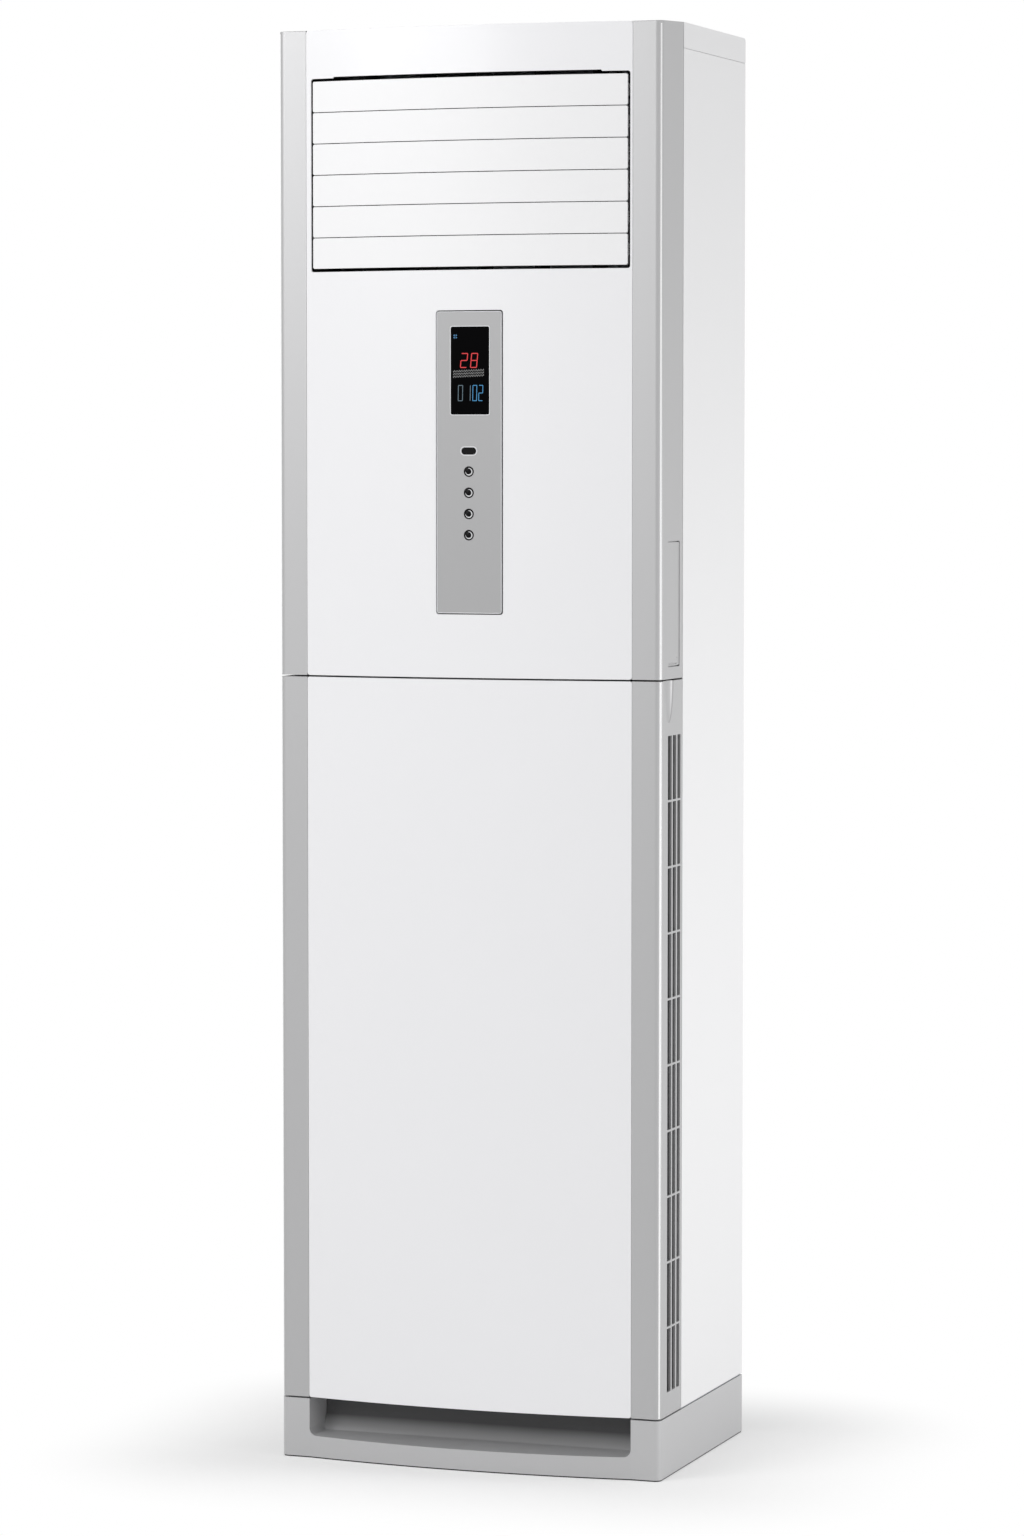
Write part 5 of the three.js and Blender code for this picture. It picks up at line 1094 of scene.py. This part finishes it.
def make_louvre(number):
    """One blade with its end lugs, and its dark pins and crank."""
    name = f"louvre_{number}"
    low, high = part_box(name)
    half = (high.z - low.z) / 2
    z = middle(name)[2]
    left, right = BLADE_X
    blade = solid(bowed_sheet, left, right, low.z, high.z, BLADE_WALL)
    blade = carved(blade, [opening(left, right, low.z, high.z, 2 * MM)], "INTERSECT")
    front = bow(right) + BLADE_WALL / 2
    rear = BLADE_PIVOT + LUG_HALF
    lug = [(front, z - half / 2), (rear, z - LUG_HALF), (rear, z + LUG_HALF), (front, z + half / 2)]
    add_prism(blade, lug, "x", left, left + LUG_WALL)
    add_prism(blade, lug, "x", right - LUG_WALL, right)
    stand_in(name, outward(blade), BLADE_WHITE, 0.7 * MM, 3)
    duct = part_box("outlet_frame")[1].x
    crank = -(duct + 2 * MM)
    far = BLADE_PIVOT + CRANK_REACH
    pins = bmesh.new()
    add_rod(pins, "x", 2.5 * MM, crank - MM, left + MM, BLADE_PIVOT, z, 24)
    add_rod(pins, "x", 2.5 * MM, right - MM, duct + MM, BLADE_PIVOT, z, 24)
    add_prism(pins, stadium(BLADE_PIVOT, z, far, z, LUG_HALF), "x", crank - 2.5 * MM, crank)
    add_rod(pins, "x", 1.5 * MM, low.x, crank - MM, far, z, 20)
    piece(name + "_pins", outward(pins), DUCT_BLACK, BODIES[name], "louvre_white", round_edges=0.3 * MM)


def make_outlet():
    for number in range(1, LOUVRES + 1):
        make_louvre(number)
    refined("outlet_frame", DUCT_BLACK, 0.4 * MM)
    refined("louvre_link", KEY_RIM, 0.3 * MM)
    refined("louvre_motor", STEEL, 0.5 * MM, 3)
    for number in range(1, VANES + 1):
        refined(f"vane_{number}", DARK_PLASTIC, 0.5 * MM, 3)
    refined("vane_link", KEY_RIM, 0.3 * MM)
    refined("vane_motor", STEEL, 0.4 * MM, 3)


# ---------------------------------------------------------------- rear, sides and top
def make_rear_screws():
    """Low round screw heads down both edges of the rear sheet."""
    bm = bmesh.new()
    low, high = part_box("rear_panel")
    seat = high.y - 0.2 * MM
    rows = 8
    for x in (low.x + 10 * MM, high.x - 10 * MM):
        for i in range(rows):
            z = low.z + 30 * MM + i * (high.z - low.z - 60 * MM) / (rows - 1)
            add_rod(bm, "y", 3.2 * MM, seat, seat + 1.2 * MM, x, z, 24, 2.56 * MM)
    piece("rear_screws", outward(bm), STEEL, "cabinet", "steel", round_edges=0.25 * MM)


BEADS = 9
BEAD_FOOT = 260 * MM
BEAD_PITCH = 140 * MM
BEAD_HALF = 7 * MM


def make_rear_beads():
    """Pressed stiffening beads across the rear sheet, with none at the wall bracket."""
    bm = bmesh.new()
    low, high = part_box("rear_panel")
    bracket = middle("wall_bracket")[2]
    for i in range(BEADS):
        z = low.z + BEAD_FOOT + i * BEAD_PITCH
        if abs(z - bracket) > 60 * MM:
            outline = rounded(low.x + 60 * MM, high.x - 60 * MM, z - BEAD_HALF, z + BEAD_HALF, 6.9 * MM, 10)
            add_prism(bm, outline, "y", high.y - 0.5 * MM, high.y + 0.9 * MM)
    piece("rear_beads", outward(bm), ZINC, "cabinet", "zinc_sheet", round_edges=0.8 * MM, steps=4)


def make_casing():
    refined("side_panel_left", SIDE_PAINT, 0.45 * MM, 3)
    refined("side_panel_right", SIDE_PAINT, 0.45 * MM, 3)
    refined("top_cover", TOP_PAINT, 0.8 * MM, 3)
    refined("rear_panel", ZINC, 0.2 * MM)
    refined("wall_bracket", ZINC, 0.2 * MM)
    refined("cable_grommet", RUBBER_BLACK, 0.4 * MM, 3)
    refined("hinge_pin_lower", STEEL, 0.3 * MM)
    refined("hinge_pin_upper", STEEL, 0.3 * MM)
    make_rear_screws()
    make_rear_beads()


# ---------------------------------------------------------------- inside
def make_filter_net():
    """Fine threads across both windows of the filter."""
    bm = bmesh.new()
    low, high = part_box("air_filter")
    y = (low.y + 1.2 * MM + high.y) / 2
    thread = 0.35 * MM
    half = thread / 2
    edge = 10 * MM
    first = 12 * MM
    upright, level = 58, 66
    for i in range(upright):
        x = low.x + first + i * (high.x - low.x - 2 * first) / (upright - 1)
        near = y - 0.6 * MM
        add_box(bm, x - half, x + half, near, near + thread, low.z + edge, high.z - edge)
    for i in range(level):
        z = low.z + first + i * (high.z - low.z - 2 * first) / (level - 1)
        near = y + 0.3 * MM
        add_box(bm, low.x + edge, high.x - edge, near, near + thread, z - half, z + half)
    piece("filter_net", outward(bm), DARK_PLASTIC, BODIES["air_filter"], "filter_blue", smooth=20)


WHEEL_DEPTH = (FACE + 168 * MM, FACE + 252 * MM)
WHEEL_RADIUS = 138
WHEEL_BLADES = 44


def wheel_blade(turn, cx, cz):
    """Outline of one curved blade, seen from the front."""
    outline = []
    for edge in (0.8 * MM, -0.8 * MM):
        row = []
        for step in range(7):
            share = step / 6
            radius = (117 + 20 * share) * MM + edge * 0.3
            angle = turn + 0.16 * (share - 0.5) - 0.06 * math.sin(math.pi * share) + edge / (127 * MM)
            row.append((cx + radius * math.cos(angle), cz + radius * math.sin(angle)))
        outline += row if edge > 0 else row[::-1]
    return outline


def make_fan_wheel():
    """The blower wheel with curved blades, rings and hub."""
    low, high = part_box("fan_wheel")
    cx, _, cz = middle("fan_wheel")
    front, rear = WHEEL_DEPTH
    edge = WHEEL_RADIUS
    back_plate = [(6, 0), (6, -2), (60, -2), (72, -6), (90, -2), (edge, -2), (edge, 0)]
    front_ring = [(116, 0), (edge, 0), (edge, 3), (116, 3)]
    hub = [(6, -27), (16, -27), (22, -20), (22, 0), (6, 0)]
    bm = bmesh.new()
    for profile, y, steps in ((back_plate, rear, 96), (front_ring, front, 96), (hub, rear, 48)):
        add_turned(bm, from_mm(profile, y), cx, cz, steps)
    add_rod(bm, "y", 6 * MM, low.y, high.y, cx, cz, 32)
    for i in range(WHEEL_BLADES):
        add_prism(bm, wheel_blade(2 * math.pi * i / WHEEL_BLADES, cx, cz), "y", front + MM, rear - MM)
    stand_in("fan_wheel", outward(bm), DARK_PLASTIC, smooth=35)


COIL_HALF = 20 * MM
COIL_HEIGHT = 500 * MM
COIL_FOOT = FACE + 118 * MM
COIL_LEAN = 0.384  # radians, near enough for the share of its thickness in the box
FINS = 150
TUBE_ROWS = 14
TUBE_PITCH = 35 * MM


def make_coil_fins():
    """The leaning coil: thin upright fins, two rows of tubes and end plates."""
    low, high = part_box("evaporator_core")
    reach = high.y - low.y - 2 * COIL_HALF * math.cos(COIL_LEAN)
    lean = math.asin(reach / COIL_HEIGHT)
    foot = Vector((0, COIL_FOOT, low.z + COIL_HALF * math.sin(lean)))
    turn = Matrix.Translation(foot) @ Matrix.Rotation(-lean, 4, "X")
    bm = bmesh.new()
    fin = COIL_HALF - 0.2 * MM
    for i in range(FINS):
        x = low.x + 2 * MM + i * (high.x - low.x - 4 * MM) / (FINS - 1)
        add_box(bm, x - 0.2 * MM, x + 0.2 * MM, -fin, fin, 3 * MM, COIL_HEIGHT - 3 * MM)
    for i in range(TUBE_ROWS):
        for y in (-12 * MM, 12 * MM):
            add_rod(bm, "x", 4.6 * MM, low.x, high.x, y, 22 * MM + i * TUBE_PITCH, 16)
    for x in (low.x, high.x - 1.2 * MM):
        add_box(bm, x, x + 1.2 * MM, -COIL_HALF, COIL_HALF, 0, COIL_HEIGHT)
    bmesh.ops.transform(bm, matrix=turn, verts=bm.verts)
    stand_in("evaporator_core", outward(bm), FIN_METAL, smooth=30)


def add_tube(bm, points, radius, sides=16):
    """A round tube through the points, with its ends closed."""
    places = [Vector(p) for p in points]
    rings = []
    side = None
    for i, place in enumerate(places):
        ahead = places[min(i + 1, len(places) - 1)] - places[max(i - 1, 0)]
        ahead.normalize()
        if side is None:
            side = ahead.orthogonal().normalized()
        side = (side - ahead * side.dot(ahead)).normalized()
        up = ahead.cross(side)
        ring = []
        for step in range(sides):
            angle = 2 * math.pi * step / sides
            ring.append(bm.verts.new(place + radius * (math.cos(angle) * side + math.sin(angle) * up)))
        rings.append(ring)
    for one, two in zip(rings, rings[1:]):
        for step in range(sides):
            after = (step + 1) % sides
            bm.faces.new((one[step], one[after], two[after], two[step]))
    bm.faces.new(rings[0][::-1])
    bm.faces.new(rings[-1])


def curve_through(corners, bend, steps=6):
    """Corners joined by straight runs and rounded bends."""
    places = [Vector(c) for c in corners]
    path = [places[0]]
    for before, here, after in zip(places, places[1:], places[2:]):
        start = here + (before - here).normalized() * min(bend, (before - here).length / 2)
        end = here + (after - here).normalized() * min(bend, (after - here).length / 2)
        for i in range(steps + 1):
            t = i / steps
            path.append(start * (1 - t) ** 2 + here * 2 * t * (1 - t) + end * t * t)
    path.append(places[-1])
    return path


def make_wiring():
    """Three wires from the control board over to the top of the capacitor."""
    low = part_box("control_board")[0]
    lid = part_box("electrical_box")[1].z - 8 * MM
    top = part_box("run_capacitor")[1].z - 3 * MM
    cap_x, cap_y, _ = middle("run_capacitor")
    board = low.y + 22 * MM
    for i, (material, name) in enumerate(((WIRE_RED, "red"), (WIRE_BLUE, "blue"), (WIRE_BROWN, "brown"))):
        x = low.x + 128 * MM + i * 7 * MM
        z = low.z + 78 * MM + i * 2 * MM
        end_x = cap_x + (i - 1) * 4 * MM
        corners = [(x, board, z), (x, board - 16 * MM, z + 3 * MM), (end_x, board - 20 * MM, lid),
                   (end_x, cap_y, lid), (end_x, cap_y, top)]
        wire_shape = solid(add_tube, curve_through(corners, 8 * MM), 0.9 * MM, 10)
        piece(f"board_wire_{name}", wire_shape, material, "cabinet", "rubber_black", smooth=60)


def make_board_parts():
    """Chips, relays, capacitors and a choke, at places in mm from the board's lower left corner."""
    low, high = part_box("control_board")
    face = high.y - 1.6 * MM

    def add_block(bm, x0, x1, z0, z1, depth):
        width = (low.x + x0 * MM, low.x + x1 * MM)
        height = (low.z + z0 * MM, low.z + z1 * MM)
        add_box(bm, *width, face - depth * MM, face, *height)

    def add_can(bm, radius, depth, x, z, steps):
        add_rod(bm, "y", radius * MM, face - depth * MM, face, low.x + x * MM, low.z + z * MM, steps)

    chips = bmesh.new()
    add_block(chips, 96, 118, 12, 30, 2.4)
    add_block(chips, 10, 40, 74, 92, 14)
    for i in range(4):
        add_block(chips, 112 + i * 12, 121 + i * 12, 82, 96, 9)
    piece("board_chips", outward(chips), CHIP_BLACK, "cabinet", "board_green", round_edges=0.3 * MM)
    cans = bmesh.new()
    for i in range(5):
        add_can(cans, 4, 13, 58 + i * 10, 9, 24)
    for i in range(2):
        add_can(cans, 7, 22, 132 + i * 18, 24, 32)
    piece("board_cans", outward(cans), CAP_BLUE, "cabinet", "board_green", round_edges=0.5 * MM)
    choke = turned([(4, -9), (9, -9), (9, 0), (4, 0)], face, low.x + 150 * MM, low.z + 58 * MM, 40)
    piece("board_choke", choke, COIL_YELLOW, "cabinet", "board_green", round_edges=0.8 * MM)


def make_motor_details():
    """Six bolts on the motor's collar and four on its rear cap."""
    bm = bmesh.new()
    cx, _, cz = middle("fan_wheel")
    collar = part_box("motor_bracket")[0].y + 2.5 * MM
    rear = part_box("fan_motor")[1].y
    for count, circle_radius, radius, seat, height, steps in (
            (6, 88 * MM, 4 * MM, collar, 3.5 * MM, 6), (4, 46 * MM, 3.5 * MM, rear, 2.5 * MM, 24)):
        for i in range(count):
            angle = math.radians((i + 0.5) * 360 / count)
            x, z = cx + circle_radius * math.cos(angle), cz + circle_radius * math.sin(angle)
            add_rod(bm, "y", radius, seat - 0.2 * MM, seat + height, x, z, steps)
    piece("motor_bolts", outward(bm), STEEL, "cabinet", "steel", round_edges=0.4 * MM)


def make_inside():
    for name, material, edge in (
            ("base_pan", ZINC, 0.25), ("partition_deck", ZINC, 0.25), ("coil_cover", ZINC, 0.2),
            ("motor_bracket", ZINC, 0.4), ("electrical_box", ZINC, 0.3),
            ("blower_housing", INNER_WHITE, 0.4), ("blower_front", INNER_WHITE, 0.6),
            ("drain_pan", INNER_WHITE, 0.5), ("drain_pipe", INNER_WHITE, 0.2),
            ("evaporator_bends", COPPER, 0.2), ("gas_pipe", COPPER, 0.2), ("liquid_pipe", COPPER, 0.2),
            ("fan_motor", STEEL, 0.8), ("run_capacitor", STEEL, 0.5), ("control_board", BOARD_GREEN, 0.25),
            ("intake_grille", DARK_PLASTIC, 0.5), ("air_filter", FILTER_BLUE, 0.4)):
        refined(name, material, edge * MM)
    make_filter_net()
    make_fan_wheel()
    make_coil_fins()
    make_board_parts()
    make_wiring()
    make_motor_details()


# ---------------------------------------------------------------- studio
AROUND = 0.6
PAPER_GLOW = 0.2
SHADOW_REACH = (0.01, 0.32)  # from the plinth
WHITE = (1, 1, 1, 1)
CAMERA_PLACE = (2.0444, -5.7259, 1.1977)
CAMERA_TURN = (86.532, 0, 19.654)  # degrees
CAMERA_LENS = 117.67


def seen_directly(tree):
    """1 where the camera sees a face itself, in a mirror or through glass."""
    path = node(tree, "ShaderNodeLightPath")
    first = node(tree, "ShaderNodeMath", operation="MAXIMUM")
    second = node(tree, "ShaderNodeMath", operation="MAXIMUM")
    wire(
        tree,
        (path, "Is Camera Ray", first, 0),
        (path, "Is Glossy Ray", first, 1),
        (first, "Value", second, 0),
        (path, "Is Transmission Ray", second, 1))
    return second.outputs["Value"]


def far_from_plinth(tree):
    """0 beside the plinth, rising to 1 where the paper turns into plain backdrop."""
    place = node(tree, "ShaderNodeTexCoord")
    size = node(tree, "ShaderNodeVectorMath", operation="ABSOLUTE")
    past = node(tree, "ShaderNodeVectorMath", {1: (SIDE, REAR, 0)}, operation="SUBTRACT")
    outside = node(tree, "ShaderNodeVectorMath", {1: (0, 0, 0)}, operation="MAXIMUM")
    reach = node(tree, "ShaderNodeVectorMath", operation="LENGTH")
    fade = node(
        tree, "ShaderNodeMapRange", {"From Min": SHADOW_REACH[0], "From Max": SHADOW_REACH[1]},
        interpolation_type="SMOOTHSTEP")
    wire(
        tree,
        (place, "Object", size, 0),
        (size, "Vector", past, 0),
        (past, "Vector", outside, 0),
        (outside, "Vector", reach, 0),
        (reach, "Value", fade, "Value"))
    return fade.outputs["Result"]


def glow(tree, strength):
    return node(tree, "ShaderNodeEmission", {"Color": WHITE, "Strength": strength}).outputs["Emission"]


def diffuse(tree, share):
    return node(tree, "ShaderNodeBsdfDiffuse", {"Color": (share, share, share, 1)}).outputs["BSDF"]


def mixed(tree, share, first, second):
    """One shader turning into another as the share goes from 0 to 1."""
    mix = node(tree, "ShaderNodeMixShader")
    for entry, output in enumerate((share, first, second)):
        tree.links.new(output, mix.inputs[entry])
    return mix.outputs["Shader"]


def make_paper():
    """White paper: it keeps the shadow near the plinth and fades into the backdrop."""
    material = bpy.data.materials.new("studio_paper")
    material.use_nodes = True
    tree = material.node_tree
    tree.nodes.clear()
    near = node(tree, "ShaderNodeAddShader")
    tree.links.new(diffuse(tree, 1 - PAPER_GLOW), near.inputs[0])
    tree.links.new(glow(tree, PAPER_GLOW), near.inputs[1])
    paper = mixed(tree, far_from_plinth(tree), near.outputs["Shader"], glow(tree, 1))
    shown = mixed(tree, seen_directly(tree), diffuse(tree, 0.9), paper)
    out = node(tree, "ShaderNodeOutputMaterial")
    tree.links.new(shown, out.inputs["Surface"])
    return material


def make_floor():
    mesh = bpy.data.meshes.new("studio_floor")
    bm = bmesh.new()
    bmesh.ops.create_grid(bm, x_segments=1, y_segments=1, size=14)
    bm.to_mesh(mesh)
    bm.free()
    floor = bpy.data.objects.new("studio_floor", mesh)
    bpy.context.scene.collection.objects.link(floor)
    mesh.materials.append(make_paper())


def make_world():
    """Soft white surroundings, and plain white where the camera looks past the object."""
    world = bpy.data.worlds.new("studio_world")
    bpy.context.scene.world = world
    world.use_nodes = True
    tree = world.node_tree
    tree.nodes.clear()
    around = node(tree, "ShaderNodeBackground", {"Color": WHITE, "Strength": AROUND})
    backdrop = node(tree, "ShaderNodeBackground", {"Color": WHITE, "Strength": 1})
    shown = mixed(tree, seen_directly(tree), around.outputs["Background"], backdrop.outputs["Background"])
    out = node(tree, "ShaderNodeOutputWorld")
    tree.links.new(shown, out.inputs["Surface"])


def make_lamp(name, place, target, size, power):
    data = bpy.data.lights.new(name, "AREA")
    data.energy = power
    data.shape = "RECTANGLE"
    data.size, data.size_y = size
    lamp = bpy.data.objects.new(name, data)
    bpy.context.scene.collection.objects.link(lamp)
    lamp.location = place
    lamp.rotation_euler = (Vector(target) - Vector(place)).to_track_quat("-Z", "Y").to_euler()
    lamp.visible_camera = False


def make_camera():
    data = bpy.data.cameras.new("photo_camera")
    data.lens = CAMERA_LENS
    data.sensor_width = 36
    data.sensor_fit = "AUTO"
    data.clip_start = 0.1
    data.clip_end = 60
    camera = bpy.data.objects.new("photo_camera", data)
    bpy.context.scene.collection.objects.link(camera)
    camera.location = CAMERA_PLACE
    camera.rotation_euler = [math.radians(turn) for turn in CAMERA_TURN]
    bpy.context.scene.camera = camera


def make_studio():
    bpy.context.scene.view_settings.view_transform = "Standard"
    make_floor()
    make_world()
    make_lamp("high_left_lamp", (-1.9, -2.3, 2.6), (-0.1, 0, 1.6), (1.0, 1.0), 21)
    make_lamp("tall_front_lamp", (-2.1, -4.6, 2.6), (0, 0, 1.5), (1.6, 1.6), 37)
    make_lamp("right_lamp", (1.9, 0.25, 0.6), (0.2, 0.1, 0.6), (0.5, 1.0), 9)
    make_lamp("corner_lamp", (2.4, -0.8, 0.8), (0.2, -0.1, 0.8), (0.25, 1.4), 4.5)
    make_camera()


# ---------------------------------------------------------------- all together
def make_cabinet():
    make_upper_panel()
    make_door_panel()
    for side, word in ((-1, "left"), (1, "right")):
        make_upper_pillar(f"upper_pillar_{word}", side)
        make_door_pillar(f"door_pillar_{word}", side)
        make_grip_inset(f"grip_inset_{word}", side)
        make_vent_slats(f"vent_slats_{word}", side)
    make_plinth()
    make_fascia()
    make_power_button()
    for name in BUTTONS:
        make_round_button(name)
    make_display()
    make_outlet()
    make_corner_highlights()
    make_joint_shadow_strips()
    make_casing()
    make_inside()


make_cabinet()
make_studio()
